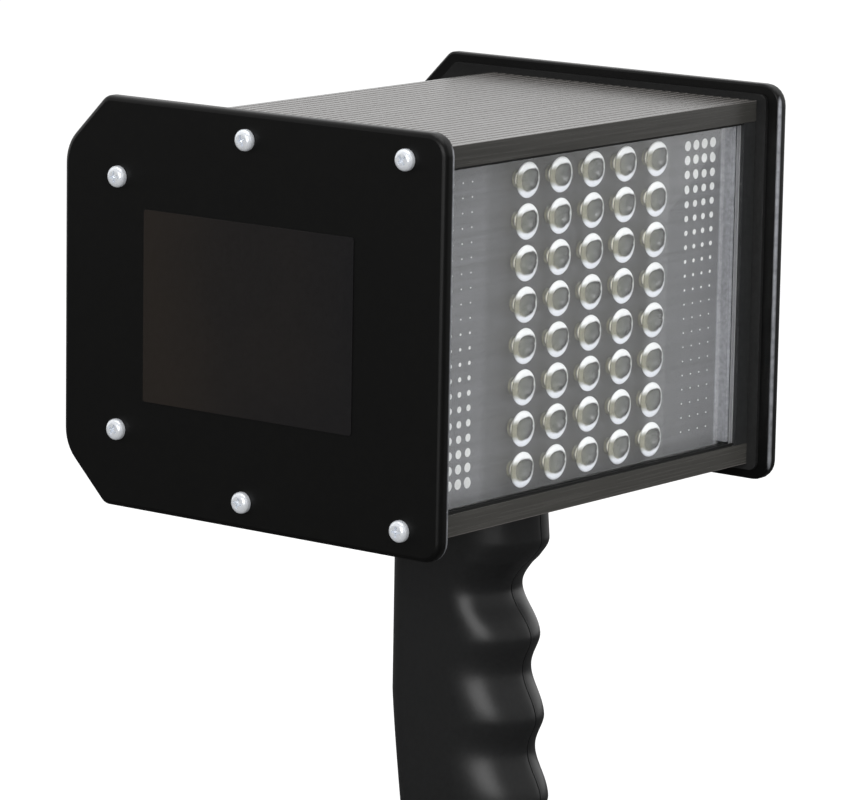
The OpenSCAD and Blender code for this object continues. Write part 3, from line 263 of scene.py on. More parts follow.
# Front of a lens, in shares of its radius: the grey cup's half sizes and its upper edge's slant
CUP_HALF_W, CUP_UP, CUP_DOWN, CUP_SLANT = 0.83, 0.56, 0.65, 0.3
# Painted light on the cup's left where it runs into the neck, painted shade along its right edge,
# and the cup's tones from painted light on the left to painted shade on the right
CUP_PAINTED_LIGHT, CUP_PAINTED_SHADE = (0.25, 0.24, 0.18), (0.03, 0.03, 0.029)
CUP_PAINTED_TONES = [(0.02, CUP_PAINTED_LIGHT), (0.45, (0.130, 0.133, 0.105)), (0.9, (0.095, 0.095, 0.090))]
# Painted reflections on the rim: bright above and below, greyer at the sides
RIM_PAINTED_REFLECTION = [(0.15, (0.80, 0.81, 0.86)), (0.32, (0.60, 0.61, 0.62)), (0.66, (0.62, 0.63, 0.60)),
             (0.76, (0.95, 0.95, 0.95))]
# Squared shares of the cup's size: where its edge of painted shade comes, where that ends, where
# the rim comes
EDGE_COMES, EDGE_ENDS, RIM_COMES = (0.45, 0.8), (0.95, 1.15), (0.85, 1.15)


def lens_front():
    """Front of a clear lens, mapped on each lens's own front. Painted reflections make it bright
    above and below its grey cup. Painted shade darkens the cup along its right edge, and on the
    left painted light runs it into the neck."""
    material, tree, place = new_finish("lens_front")
    flat = axes_of(tree, add(tree, "UVMap", {"uv_map": "flat"}).outputs["UV"])
    x, y = flat["X"], flat["Y"]
    upper = rise(tree, y, -0.05, 0.05)
    across = times(tree, x, 1 / CUP_HALF_W)
    along = maths(tree, "SUBTRACT", y, times(tree, upper, CUP_SLANT, x))
    along = times(tree, along, between(tree, upper, 0.0, 1.0, 1 / CUP_DOWN, 1 / CUP_UP))
    cloud = grain(tree, place, 420.0)
    reach = plus(tree, times(tree, across, across), times(tree, along, along))
    reach = plus(tree, reach, vary(tree, cloud, -0.12, 0.12))
    marks = grain(tree, place, 700.0, 3.0, (0.5, 1.0, 1.0), 0.65)
    # Painted light on the cup's left and painted shade towards its right
    cup = shades(tree, rise(tree, x, -0.6, 0.6), CUP_PAINTED_TONES)
    cup = scaled(tree, cup, vary(tree, marks, 0.70, 1.35))
    # Painted shade along the cup's right edge
    edge = times(tree, rise(tree, reach, *EDGE_COMES), fall(tree, reach, *EDGE_ENDS),
                 rise(tree, x, -0.1, 0.35))
    cup = blend_colours(tree, edge, cup, (*CUP_PAINTED_SHADE, 1.0))
    # Painted light on the rim's left, where it runs into the neck
    left = times(tree, rise(tree, x, -0.3, -0.6), fall(tree, size_of(tree, y), 0.3, 0.6))
    # Painted reflections on the rim, bright above and below
    rim = shades(tree, rise(tree, y, -1.0, 1.0), RIM_PAINTED_REFLECTION)
    rim = blend_colours(tree, left, rim, (*CUP_PAINTED_LIGHT, 1.0))
    dull = maths(tree, "MAXIMUM", edge, times(tree, left, 0.7))
    shade(tree, Base_Color=blend_colours(tree, rise(tree, reach, *RIM_COMES), cup, rim),
          Roughness=vary(tree, cloud, 0.10, 0.20),
          Specular_IOR_Level=between(tree, dull, 0.0, 1.0, 0.5, 0.05),
          Coat_Weight=between(tree, dull, 0.0, 1.0, 0.3, 0.0))
    return material


# Where the neck's painted light gives way to its painted shade, its two colours, and the strength
# of its painted glow
NECK_BRIGHT_Y, NECK_DARK_Y = -0.0316, -0.0304
NECK_PAINTED_LIGHT, NECK_PAINTED_SHADE, NECK_PAINTED_GLOW = (1.0, 0.97, 0.84), (0.10, 0.10, 0.10), 0.30


def lens_neck():
    """Clear neck of a lens: a painted glow stands for the light under the rim, and painted shade
    darkens it at the sheet.
    """
    material, tree, place = new_finish("lens_neck")
    cloud = grain(tree, place, 600.0)
    depth = plus(tree, rise(tree, axes_of(tree, place)["Y"], NECK_BRIGHT_Y, NECK_DARK_Y),
                 vary(tree, cloud, -0.1, 0.1))
    tone = shades(tree, depth, [(0.2, NECK_PAINTED_LIGHT), (0.85, NECK_PAINTED_SHADE)])
    # Painted glow on the neck's lit end, though it is no lamp
    shade(tree, Base_Color=tone, Emission_Color=tone, Roughness=vary(tree, cloud, 0.2, 0.3),
          Emission_Strength=between(tree, depth, 0.2, 0.8, NECK_PAINTED_GLOW, 0.0))
    return material


COAT_LOW, COAT_HIGH = (0.0018, 0.0018, 0.0017), (0.0026, 0.0026, 0.0024)
COAT_PAINTED_HIGHLIGHT = (0.42, 0.43, 0.46)
# Where the plates' coat carries a painted highlight: inner side, front edge and the near plate's
# lower corner
INNER_SIDE, FRONT_EDGE = (0.0757, 0.0763), (-0.0444, -0.0449)
CORNER_Z, CORNER_Y, PLATE_Z = (0.125, 0.120), (-0.026, -0.042), (0.115, 0.235)


def powder_coat():
    """Black coat on the end plates, with a painted highlight on the inner front edges and on one
    lower corner.
    """
    material, tree, place = new_finish("black_powder_coat")
    coarse = grain(tree, place, 500.0, 4.0)
    close = grain(tree, place, 3000.0, 2.0)
    at = axes_of(tree, place)
    normal = axes_of(tree, add(tree, "NewGeometry").outputs["Normal"])
    on_edge = maths(tree, "LESS_THAN", size_of(tree, normal["X"]), 0.85)
    corner = times(tree, on_edge, between(tree, at["Z"], *CORNER_Z, 0.0, 0.8),
                   rise(tree, at["Y"], *CORNER_Y), maths(tree, "LESS_THAN", at["X"], 0.0))
    edges = maths(tree, "MAXIMUM", rise(tree, at["Y"], *FRONT_EDGE), corner)
    # Painted highlight on the inner front edges and one lower corner, varied by the coarse grain
    painted_highlight = times(tree, fall(tree, size_of(tree, at["X"]), *INNER_SIDE), edges,
                   between(tree, at["Z"], *PLATE_Z, 0.6, 1.0),
                   between(tree, coarse, 0.25, 0.6, 0.5, 1.0))
    plain = two_tone(tree, coarse, COAT_LOW, COAT_HIGH)
    shade(tree, Base_Color=blend_colours(tree, painted_highlight, plain, (*COAT_PAINTED_HIGHLIGHT, 1.0)),
          Roughness=vary(tree, close, 0.33, 0.43), Normal=relief(tree, close, 0.2, 0.00004),
          Specular_IOR_Level=0.24)
    return material


ANODISED_LOW, ANODISED_HIGH = (0.046, 0.045, 0.041), (0.062, 0.060, 0.055)
# The groove floors' lighter colour is a painted reflection
GROOVE_PAINTED_REFLECTION = (0.150, 0.139, 0.134)
# Heights from the body's centre: the floors of the fine grooves, and the two lips
GROOVE_FLOOR, LIP_HIGH = (0.0526, 0.05279), 0.04


def anodised():
    """Dark anodised extrusion, drawn along X. A painted reflection makes the floors of its fine
    grooves lighter, and painted light makes the lower extrusion a little lighter than the upper
    one."""
    material, tree, place = new_finish("dark_anodised")
    drawn = grain(tree, place, 1400.0, 4.0, ALONG_X)
    z = axes_of(tree, place)["Z"]
    high = size_of(tree, maths(tree, "SUBTRACT", z, CENTRE.z))
    # Floors of the fine grooves, where the painted reflection goes
    sunk = times(tree, maths(tree, "GREATER_THAN", high, GROOVE_FLOOR[0]),
                 maths(tree, "LESS_THAN", high, GROOVE_FLOOR[1]))
    # Painted light: the lower extrusion up to 1.3 times as light as the upper one
    level = between(tree, z, CENTRE.z - LIP_HIGH, CENTRE.z + LIP_HIGH, 1.3, 1.0)
    plain = scaled(tree, two_tone(tree, drawn, ANODISED_LOW, ANODISED_HIGH), level)
    shade(tree, Base_Color=blend_colours(tree, sunk, plain, (*GROOVE_PAINTED_REFLECTION, 1.0)),
          Roughness=vary(tree, drawn, 0.22, 0.30), Normal=relief(tree, drawn, 0.2, 0.00002))
    return material


# A painted reflection across the label: lighter and browner towards the rear
LABEL_PAINTED_SHEEN = [(0.05, (0.0085, 0.0082, 0.0090)), (0.95, (0.0170, 0.0135, 0.0110))]


def label_finish():
    """Dark label sheet with a painted reflection: a little lighter and browner towards the rear."""
    material, tree, place = new_finish("label_sheet")
    clouds = grain(tree, place, 22.0, 2.0)
    along = plus(tree, rise(tree, axes_of(tree, place)["Y"], -0.015, 0.06),
                 vary(tree, clouds, -0.2, 0.2))
    shade(tree, Base_Color=shades(tree, along, LABEL_PAINTED_SHEEN), Specular_IOR_Level=0.2,
          Roughness=vary(tree, grain(tree, place, 900.0), 0.34, 0.46))
    return material


# Tones of an end cap from the window outwards: its upright, then its flange. Painted shade makes
# its top darker.
CAP_X, CAP_SHADED_TOP = (0.0680, 0.0752), (0.217, 0.226)
CAP_TONES = [(0.0, (0.026, 0.027, 0.028)), (0.75, (0.030, 0.031, 0.031)),
             (0.82, (0.018, 0.018, 0.018))]


def cap_moulding():
    """Black moulding of the inner end caps. The uprights are a little greyer than the flanges, and
    painted shade darkens the top.
    """
    material, tree, place = new_finish("cap_moulding")
    coarse = grain(tree, place, 700.0, 4.0)
    at = axes_of(tree, place)
    tone = shades(tree, rise(tree, size_of(tree, at["X"]), *CAP_X), CAP_TONES)
    # Painted shade towards the cap's top
    level = times(tree, vary(tree, coarse, 0.85, 1.15), between(tree, at["Z"], *CAP_SHADED_TOP, 1.0, 0.45))
    shade(tree, Base_Color=scaled(tree, tone, level), Specular_IOR_Level=0.3,
          Roughness=vary(tree, grain(tree, place, 4200.0, 2.0), 0.36, 0.48))
    return material


def tinted_window():
    """Dark red acrylic over the display, a little smoky."""
    material, tree, place = new_finish("tinted_display_acrylic")
    smoke = grain(tree, place, 90.0, 2.0)
    shade(tree, Base_Color=two_tone(tree, smoke, (0.030, 0.003, 0.004), (0.042, 0.005, 0.006)),
          Roughness=vary(tree, smoke, 0.08, 0.14), Coat_Weight=0.4)
    return material


TRACKS_PER_METRE = 420.0


def circuit_board():
    """Green solder mask with a pattern of fine tracks under it."""
    material, tree, place = new_finish("green_solder_mask")
    mapped = add(tree, "Mapping", Vector=place, Scale=(TRACKS_PER_METRE,) * 3).outputs["Vector"]
    tracks = add(tree, "TexBrick", Vector=mapped, Scale=1.0, Mortar_Size=0.12,
                 Color1=(0.012, 0.085, 0.030, 1.0), Color2=(0.016, 0.105, 0.038, 1.0),
                 Mortar=(0.022, 0.150, 0.055, 1.0))
    shade(tree, Base_Color=tracks.outputs["Color"],
          Roughness=vary(tree, grain(tree, place, 600.0), 0.25, 0.4))
    return material


# Each slot of the record has its finish. A plain one gives its colour, roughness, spread and grain.
FINISHES = {
    "ribbed_aluminium": anodised(),
    "black_plate": powder_coat(),
    "cap_plastic": cap_moulding(),
    "bright_screw": surface("bright_nickel", (0.90, 0.93, 1.0), 0.24, 0.05, 900.0, bump=0.05,
                            metallic=0.35),
    "clear_pane": clear_pane(),
    "black_rubber": surface("seal_rubber", (0.010, 0.010, 0.010), 0.62, 0.2, 900.0, bump=0.2,
                            specular=0.3),
    "grey_face": face_sheet(),
    "clear_lens": lens_front(),
    "emitter": surface("phosphor", (0.80, 0.66, 0.22), 0.35, 0.1, 1500.0, bump=0.1),
    "white_board": surface("white_solder_mask", (0.78, 0.78, 0.76), 0.4, 0.05, 500.0, bump=0.1),
    "green_board": circuit_board(),
    "plain_aluminium": surface("mill_aluminium", (0.62, 0.62, 0.63), 0.36, 0.08, 900.0, ALONG_X,
                               bump=0.2, metallic=1.0),
    "panel_black": surface("panel_coat", (0.009, 0.009, 0.0095), 0.55, 0.2, 900.0, bump=0.45,
                           specular=0.3),
    "display_red": tinted_window(),
    "dark_plastic": surface("dark_moulding", (0.016, 0.016, 0.017), 0.40, 0.15, 800.0, bump=0.15),
    "button_grey": surface("button_moulding", (0.42, 0.43, 0.44), 0.45, 0.05, 700.0, bump=0.12),
    "knob_black": surface("knob_moulding", (0.010, 0.010, 0.011), 0.38, 0.15, 700.0, bump=0.15),
    "steel": surface("zinc_plate", (0.60, 0.61, 0.62), 0.30, 0.1, 900.0, bump=0.1, metallic=1.0),
    "capacitor_sleeve": surface("shrink_sleeve", (0.012, 0.018, 0.075), 0.25, 0.15, 400.0,
                                bump=0.1),
    "copper_winding": surface("wound_copper", (0.40, 0.16, 0.055), 0.32, 0.3, 1600.0,
                              (1.0, 1.0, 0.05), bump=0.6, depth=0.0001),
    "brass": surface("turned_brass", (0.70, 0.50, 0.20), 0.26, 0.08, 900.0, bump=0.1, metallic=1.0),
    "grey_cable": surface("ribbon_insulation", (0.36, 0.36, 0.37), 0.5, 0.25, 800.0,
                          (1.0, 0.02, 0.02), bump=0.5, depth=0.0001),
    "red_lead": surface("red_insulation", (0.36, 0.018, 0.016), 0.42, 0.1, 700.0),
    "brown_lead": surface("brown_insulation", (0.13, 0.05, 0.02), 0.42, 0.1, 700.0),
    "grip_black": surface("grip_moulding", (0.0125, 0.0127, 0.0130), 0.36, 0.12, 900.0, bump=0.2,
                          specular=0.42),
}
LABEL = label_finish()
PANE_EDGE = surface("frosted_pane_edge", (0.34, 0.34, 0.35), 0.6, 0.06, 600.0, bump=0.1)
WHITE_INK = surface("white_ink", (0.78, 0.78, 0.77), 0.45, 0.05, 900.0, bump=0.1)


# Pieces

def mesh_of(name, bm):
    """A mesh from a bmesh that is then done with."""
    mesh = bpy.data.meshes.new(name)
    bm.to_mesh(mesh)
    bm.free()
    return mesh


def put_in_scene(name, data):
    made = bpy.data.objects.new(name, data)
    bpy.context.scene.collection.objects.link(made)
    return made


def place_piece(name, bm, materials, body=BODY, angle=35.0):
    """Turns a bmesh into a piece of the object: smooth but for sharp edges, riding on a body."""
    mesh = mesh_of(name, bm)
    piece = put_in_scene(name, mesh)
    for material in materials:
        mesh.materials.append(material)
    mesh.shade_smooth()
    mesh.set_sharp_from_angle(angle=math.radians(angle))
    even = piece.modifiers.new("even_normals", "WEIGHTED_NORMAL")
    even.keep_sharp = True
    even.weight = 100
    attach(piece, body)
    return piece


def copy_of(node):
    """A bmesh of a CAD node with its loose triangles merged."""
    bm = bmesh.new()
    bm.from_mesh(NODES[node].data)
    bmesh.ops.remove_doubles(bm, verts=bm.verts, dist=MERGE)
    return bm


def tidy(bm):
    """Closes seams and poles, and turns every face outwards."""
    bmesh.ops.remove_doubles(bm, verts=bm.verts, dist=MERGE)
    bmesh.ops.recalc_face_normals(bm, faces=bm.faces)


def turned(points, steps=32):
    """Spins a profile of (radius, height) points round Z."""
    bm = bmesh.new()
    verts = [bm.verts.new((r, 0.0, h)) for r, h in points]
    edges = [bm.edges.new(pair) for pair in zip(verts, verts[1:])]
    bmesh.ops.spin(bm, geom=verts + edges, axis=(0, 0, 1), cent=(0, 0, 0), angle=math.tau,
                   steps=steps, use_merge=True)
    tidy(bm)
    return bm


def block(low, high):
    """A box between two corners."""
    bm = bmesh.new()
    size = Matrix.Diagonal((*(high - low), 1.0))
    bmesh.ops.create_cube(bm, size=1.0, matrix=Matrix.Translation((low + high) / 2) @ size)
    return bm


def scattered(source, places):
    """One bmesh with a copy of the source at every place."""
    mesh = mesh_of("pattern", source)
    bm = bmesh.new()
    for place in places:
        start = len(bm.verts)
        bm.from_mesh(mesh)
        bm.verts.ensure_lookup_table()
        bmesh.ops.transform(bm, matrix=place, verts=bm.verts[start:])
    bpy.data.meshes.remove(mesh)
    return bm


def on_body(x, y, z):
    """A point in the frame, from millimetres off the body's centre."""
    return CENTRE + Vector((x, y, z)) * MM


def facing(at, axis):
    """Places a shape that was made along Z: at a point, with its top towards an axis."""
    return Matrix.Translation(at) @ Vector(axis).to_track_quat("Z", "Y").to_matrix().to_4x4()


# End plates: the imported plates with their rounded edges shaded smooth

PLATE_SHARP = 50.0
for end in ("left", "right"):
    node = f"{end}_end_plate"
    bm = copy_of(node)
    bm.normal_update()
    rims = []
    for index, edge in enumerate(bm.edges):
        flat = [abs(face.normal.x) > 0.9999 for face in edge.link_faces]
        if any(flat) and not all(flat):
            rims.append(index)
    plate = place_piece(f"{end}_plate", bm, [FINISHES["black_plate"]],
                        angle=PLATE_SHARP)
    for index in rims:
        plate.data.edges[index].use_edge_sharp = True
    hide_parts(node)


# Window pane: clear, with frosted ends and a narrow frosted strip behind them

FROSTED_FROM = 67.7
bm = copy_of("window_pane")
for x in (-FROSTED_FROM, FROSTED_FROM):
    geom = list(bm.verts) + list(bm.edges) + list(bm.faces)
    bmesh.ops.bisect_plane(bm, geom=geom, plane_co=(x * MM, 0, 0), plane_no=(1, 0, 0))
bm.normal_update()
for face in bm.faces:
    at_end = abs(face.calc_center_median().x) > FROSTED_FROM * MM
    face.material_index = int(at_end and (face.normal.y > 0.5 or abs(face.normal.x) > 0.5))
pane = place_piece("clear_pane", bm, [FINISHES["clear_pane"], PANE_EDGE])
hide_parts("window_pane")


# Screws with a cross recess

# Shares of the head's radius and height, of the shank's radius, and of the head for the recess
HEAD_PROFILE = [(0.97, 0.0), (1.0, 0.06), (1.0, 0.40), (0.96, 0.62), (0.84, 0.84), (0.62, 1.0)]
TIP_R, TIP_L = 0.7, 0.6
RECESS_W, RECESS_L, RECESS_D, RECESS_TAPER = 0.13, 0.5, 0.5, 0.8


def pan_screw(head_r, head_h, shank_r, length):
    """A pan-head screw along Z: seat at 0, shank down, a cross recess in the head."""
    shank = [(0.0, -length), (shank_r * TIP_R, -length), (shank_r, -length + shank_r * TIP_L),
             (shank_r, 0.0)]
    bm = turned(shank + [(head_r * r, head_h * h) for r, h in HEAD_PROFILE])
    bmesh.ops.contextual_create(bm, geom=[e for e in bm.edges if e.is_boundary])
    slot_w, slot_l, top_z = head_r * RECESS_W, head_r * RECESS_L, head_h * 0.98
    for axis in ((1, 0, 0), (0, 1, 0)):
        for reach in (-slot_w, slot_w, -slot_l, slot_l):
            top = [f for f in bm.faces if f.normal.z > 0.99 and f.calc_center_median().z > top_z]
            edges, verts = {e for f in top for e in f.edges}, {v for f in top for v in f.verts}
            bmesh.ops.bisect_plane(bm, geom=top + list(edges) + list(verts),
                                   plane_co=Vector(axis) * reach, plane_no=axis)
    cross = []
    for face in bm.faces:
        at = face.calc_center_median()
        x, y = abs(at.x), abs(at.y)
        if at.z > top_z and (x < slot_w and y < slot_l or y < slot_w and x < slot_l):
            cross.append(face)
    sunk = bmesh.ops.extrude_face_region(bm, geom=cross)["geom"]
    sunk = [v for v in sunk if isinstance(v, bmesh.types.BMVert)]
    bmesh.ops.delete(bm, geom=cross, context="FACES")
    bmesh.ops.translate(bm, verts=sunk, vec=(0, 0, -head_h * RECESS_D))
    bmesh.ops.scale(bm, verts=sunk, vec=(RECESS_TAPER, RECESS_TAPER, 1.0))
    tidy(bm)
    return bm


# Head radius, head height, shank radius and length of each kind
PLATE_SCREW = (3.0, 2.2, 1.5, 18.0)
GRIP_SCREW = (2.8, 1.8, 1.25, 23.8)
PLATE_FACE = 79.0
PLATE_SCREW_YZ = [(-54.0, 49.8), (1.2, 49.8), (47.0, 35.4)]
# Each screw stands turned by this much more than the one before it
SCREW_TURN = math.radians(37.0)


def screw_set(name, kind, places, slot):
    """All screws of one kind, as one piece."""
    bm = scattered(pan_screw(*(size * MM for size in kind)), places)
    return place_piece(name, bm, [FINISHES[slot]])


screw_places = []
for end in (-1, 1):
    for y, z in PLATE_SCREW_YZ:
        for side in (-1, 1):
            turn = Matrix.Rotation(SCREW_TURN * len(screw_places), 4, "Z")
            screw_places.append(facing(on_body(end * PLATE_FACE, y, side * z), (end, 0, 0)) @ turn)
screws = screw_set("plate_screws", PLATE_SCREW, screw_places, "bright_screw")
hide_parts("end_plate_screws")


# Lenses: clear mouldings with a rim of painted reflection, a grey cup and a slim neck through the
# face sheet

LENS_FRONT, LENS_R, RIM_BACK = -56.2, 5.0, 0.8
LENS_STEPS, LENS_SHARP = 28, 40.0
LED_COLUMNS, LED_ROWS = 5, 8
LED_PITCH_X, LED_PITCH_Z = 14.93, 11.4
LENS_PROFILE = [
    (0.0, -1.5), (0.9, -1.42), (1.7, -1.18), (2.35, -0.8), (2.85, -0.38), (3.1, -0.14),
    (3.4, -0.02), (3.8, 0.0), (4.4, -0.03), (4.8, -0.14), (4.97, -0.34), (LENS_R, -0.5),
    (4.9, -0.7), (4.6, -RIM_BACK), (3.6, -1.1), (2.8, -1.6), (2.3, -2.3), (2.05, -3.1),
    (2.0, -3.6), (2.5, -4.0), (2.5, -5.2), (1.9, -5.4), (1.9, -6.75), (0.0, -6.75)]


def lens():
    """One lens along Z, its front at 0, with a flat map of its front and a material on its neck."""
    bm = turned([(r * MM, h * MM) for r, h in LENS_PROFILE], LENS_STEPS)
    flat = bm.loops.layers.uv.new("flat")
    for face in bm.faces:
        behind = face.calc_center_median().z < -RIM_BACK * MM
        face.material_index = int(behind and face.normal.z < 0.2)
        for loop in face.loops:
            loop[flat].uv = loop.vert.co.xy / (LENS_R * MM)
    return bm


led_places = []
for column in range(LED_COLUMNS):
    for row in range(LED_ROWS):
        x = (column - (LED_COLUMNS - 1) / 2) * LED_PITCH_X
        z = (row - (LED_ROWS - 1) / 2) * LED_PITCH_Z
        led_places.append(facing(on_body(x, LENS_FRONT, z), (0, -1, 0)))
lenses = place_piece("lens_array", scattered(lens(), led_places),
                     [FINISHES["clear_lens"], lens_neck()], angle=LENS_SHARP)
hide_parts("collimator_lenses")


# Grip: two half shells on a fine grid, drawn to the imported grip's own curves

GRIP_L, GRIP_HALF, GRIP_WALL = 119.2, 14.0, 3.0
SHELL_LOW, SHELL_TOP = 6.1, 119.0
FRONT_REACH, FRONT_LEAN, SCOOP_Y, SCOOP_RUN = 12.8, 0.1, -1.0, 4.0
REAR_REACH, REAR_TUCK, REAR_TUCK_Z, REAR_TUCK_CURVE, REAR_R = 24.7, 7.0, 58.0, 1.2, 6.0
# Share of a wall's inset by which the rear corners' radius shrinks inside
REAR_R_INSET = 0.8
FINGERS, FINGER_PITCH, FINGER_DEPTH, FINGER_FALL = 4, 23.1, 3.8, 10.0
FIRST_Z, FIRST_DEEP, HILT_Z, HILT_L, HILT_OUT = 89.7, 2.2, 96.5, 8.8, 5.8
# The seam's half width and depth, and the width and drop of the soft edges beside it
SEAM, SEAM_DEPTH = 0.1, 0.45
SEAM_EDGE, SEAM_DROP_FRONT, SEAM_DROP_REAR = 0.12, 0.08, 0.03
FRONT_COLS, FLANK_COLS, CORNER_COLS, GRIP_ROWS = 26, 4, 8, 150
GRIP_MERGE = 1e-7
# Edges of the grip that turn by more than this are sharp
GRIP_SHARP = 40.0


def groove(z):
    """1 in the middle of a finger groove, 0 on the crests between them."""
    along = (FIRST_Z + FINGER_FALL - z) / FINGER_PITCH
    if not 0 <= along <= FINGERS:
        return 0.0
    skew = math.log(0.5) / math.log(FINGER_FALL / FINGER_PITCH)
    return (1 - math.cos(math.tau * (along % 1.0) ** skew)) / 2


def grip_front(z):
    """Y of the grip's front at a height: it leans out, with a hilt and a wave of finger grooves."""
    depth = FINGER_DEPTH + (FIRST_DEEP if z > FIRST_Z + FINGER_FALL - FINGER_PITCH else 0.0)
    up = min(1.0, max(0.0, (z - HILT_Z) / HILT_L))
    hilt = HILT_OUT * up * up * (3 - 2 * up)
    return -FRONT_REACH - FRONT_LEAN * (GRIP_L - z) + depth * groove(z) - hilt


def grip_rear(z):
    return REAR_REACH - REAR_TUCK * max(0.0, 1 - z / REAR_TUCK_Z) ** REAR_TUCK_CURVE


def half_section(z, inset):
    """(x, y) points of half the grip's section, from the front seam round to the rear seam."""
    front, rear, side = grip_front(z) + inset, grip_rear(z) - inset, GRIP_HALF - inset
    corner_r = REAR_R - inset * REAR_R_INSET
    scoop = SCOOP_Y + SCOOP_RUN * groove(z)
    flank_end = rear - corner_r
    points = []
    for i in range(1, FRONT_COLS + 1):
        a = math.pi / 2 * i / FRONT_COLS
        points.append((SEAM + (side - SEAM) * math.sin(a), scoop - (scoop - front) * math.cos(a)))
    for i in range(1, FLANK_COLS + 1):
        points.append((side, scoop + (flank_end - scoop) * i / FLANK_COLS))
    for i in range(1, CORNER_COLS + 1):
        a = math.pi / 2 * i / CORNER_COLS
        points.append((side - corner_r + corner_r * math.cos(a),
                       flank_end + corner_r * math.sin(a)))
    if inset:
        return [(SEAM, front)] + points + [(SEAM, rear)]
    first = [(SEAM, front + SEAM_DEPTH), (SEAM + SEAM_EDGE, front + SEAM_DROP_FRONT)]
    last = [(SEAM + SEAM_EDGE, rear - SEAM_DROP_REAR), (SEAM, rear - SEAM_DEPTH)]
    return first + points + last


def half_shell(side):
    """A half shell with its wall, on the +X or -X side: a ring of points that climbs the grip."""
    def ring(z):
        points = half_section(z, 0.0) + half_section(z, GRIP_WALL)[::-1]
        return points + points[:1]

    shell_l = SHELL_TOP - SHELL_LOW
    heights = [SHELL_LOW + shell_l * row / GRIP_ROWS for row in range(GRIP_ROWS + 1)]
    rings = [ring(z) for z in heights]
    columns = len(rings[0]) - 1
    bm = bmesh.new()
    bmesh.ops.create_grid(bm, x_segments=columns, y_segments=GRIP_ROWS, size=0.5)
    for vert in bm.verts:
        column = round((vert.co.x + 0.5) * columns)
        row = round((vert.co.y + 0.5) * GRIP_ROWS)
        x, y = rings[row][column]
        vert.co = Vector((side * x, y, heights[row])) * MM
    bmesh.ops.remove_doubles(bm, verts=bm.verts, dist=GRIP_MERGE)
    bmesh.ops.holes_fill(bm, edges=bm.edges, sides=0)
    bmesh.ops.recalc_face_normals(bm, faces=bm.faces)
    return bm


GRIP_SCREW_Y, GRIP_SCREW_Z = 7.0, (24.0, 62.0, 100.0)
GRIP_RECESS, HEAD_PLAY, SCREW_HOLE_R = 2.2, 0.2, 1.45
# How far the cutters reach past the flank, past the wall and into each other
CUT_OUT, CUT_IN, CUT_LAP = 2.0, 5.0, 0.5


def recess_cutter():
    """Round cutters for the heads and shanks of the three cross screws."""
    seat = GRIP_HALF - GRIP_RECESS
    bm = bmesh.new()
    for z in GRIP_SCREW_Z:
        for r, low, high in ((GRIP_SCREW[0] + HEAD_PLAY, seat, GRIP_HALF + CUT_OUT),
                             (SCREW_HOLE_R, GRIP_HALF - CUT_IN, seat + CUT_LAP)):
            middle = Vector(((low + high) / 2, GRIP_SCREW_Y, z)) * MM
            bmesh.ops.create_cone(bm, cap_ends=True, segments=40, radius1=r * MM, radius2=r * MM,
                                  depth=(high - low) * MM, matrix=facing(middle, (1, 0, 0)))
    return put_in_scene("recess_cutter", mesh_of("recess_cutter", bm))


def cut_recesses(shell):
    """Cuts the seats of the three cross screws into the right shell."""
    cutter = recess_cutter()
    cut = shell.modifiers.new("recesses", "BOOLEAN")
    cut.object = cutter
    cut.solver = "EXACT"
    shell.modifiers.move(len(shell.modifiers) - 1, 0)
    graph = bpy.context.evaluated_depsgraph_get()
    even = shell.modifiers["even_normals"]
    even.show_viewport = False
    graph.update()
    done = bpy.data.meshes.new_from_object(shell.evaluated_get(graph))
    shell.modifiers.remove(cut)
    even.show_viewport = True
    shell.data = done
    bpy.data.objects.remove(cutter)
    done.set_sharp_from_angle(angle=math.radians(GRIP_SHARP))


for end, side in (("left", -1), ("right", 1)):
    shell = place_piece(f"{end}_grip_half", half_shell(side), [FINISHES["grip_black"]],
                        angle=GRIP_SHARP)
    if side > 0:
        cut_recesses(shell)
    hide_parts(f"{end}_grip_shell")

seats = [Vector((GRIP_HALF - GRIP_RECESS, GRIP_SCREW_Y, z)) * MM for z in GRIP_SCREW_Z]
grip_screw_places = [facing(at, (1, 0, 0)) for at in seats]
grip_screws = screw_set("grip_cross_screws", GRIP_SCREW, grip_screw_places, "steel")
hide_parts("grip_screws")

foot = place_piece("grip_foot_smooth", copy_of("grip_foot"), [FINISHES["grip_black"]])
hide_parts("grip_foot")


# White inlay in the knob's pointer slot

POINTER_LOW, POINTER_HIGH = (47.45, 65.2, 16.25), (48.55, 65.6, 22.45)
place_piece("knob_pointer", block(on_body(*POINTER_LOW), on_body(*POINTER_HIGH)), [WHITE_INK],
            body="tuning_knob")


# Label sheet on the left end plate

LABEL_Y, LABEL_Z, LABEL_T = (-36.7, 37.5), (-26.4, 27.2), 0.3
LABEL_CORNER, LABEL_RIM = 0.8, 0.12


def label_sheet():
    """A thin sheet with rounded corners and a soft outer rim."""
    low = on_body(-PLATE_FACE - LABEL_T, LABEL_Y[0], LABEL_Z[0])
    high = on_body(-PLATE_FACE, LABEL_Y[1], LABEL_Z[1])
    bm = block(low, high)
    half_t = (high - low).x / 2
    corners = [e for e in bm.edges if abs(e.verts[0].co.x - e.verts[1].co.x) > half_t]
    bmesh.ops.bevel(bm, geom=corners, offset=LABEL_CORNER * MM, segments=5, profile=0.5,
                    affect="EDGES", material=-1)
    rim = [e for e in bm.edges if all(abs(v.co.x - low.x) < 1e-7 for v in e.verts)]
    bmesh.ops.bevel(bm, geom=rim, offset=LABEL_RIM * MM, segments=2, profile=0.5,
                    affect="EDGES", material=-1)
    return bm


place_piece("label_sheet", label_sheet(), [LABEL])


# Print on the face sheet: two fields of white dots, each from large to small

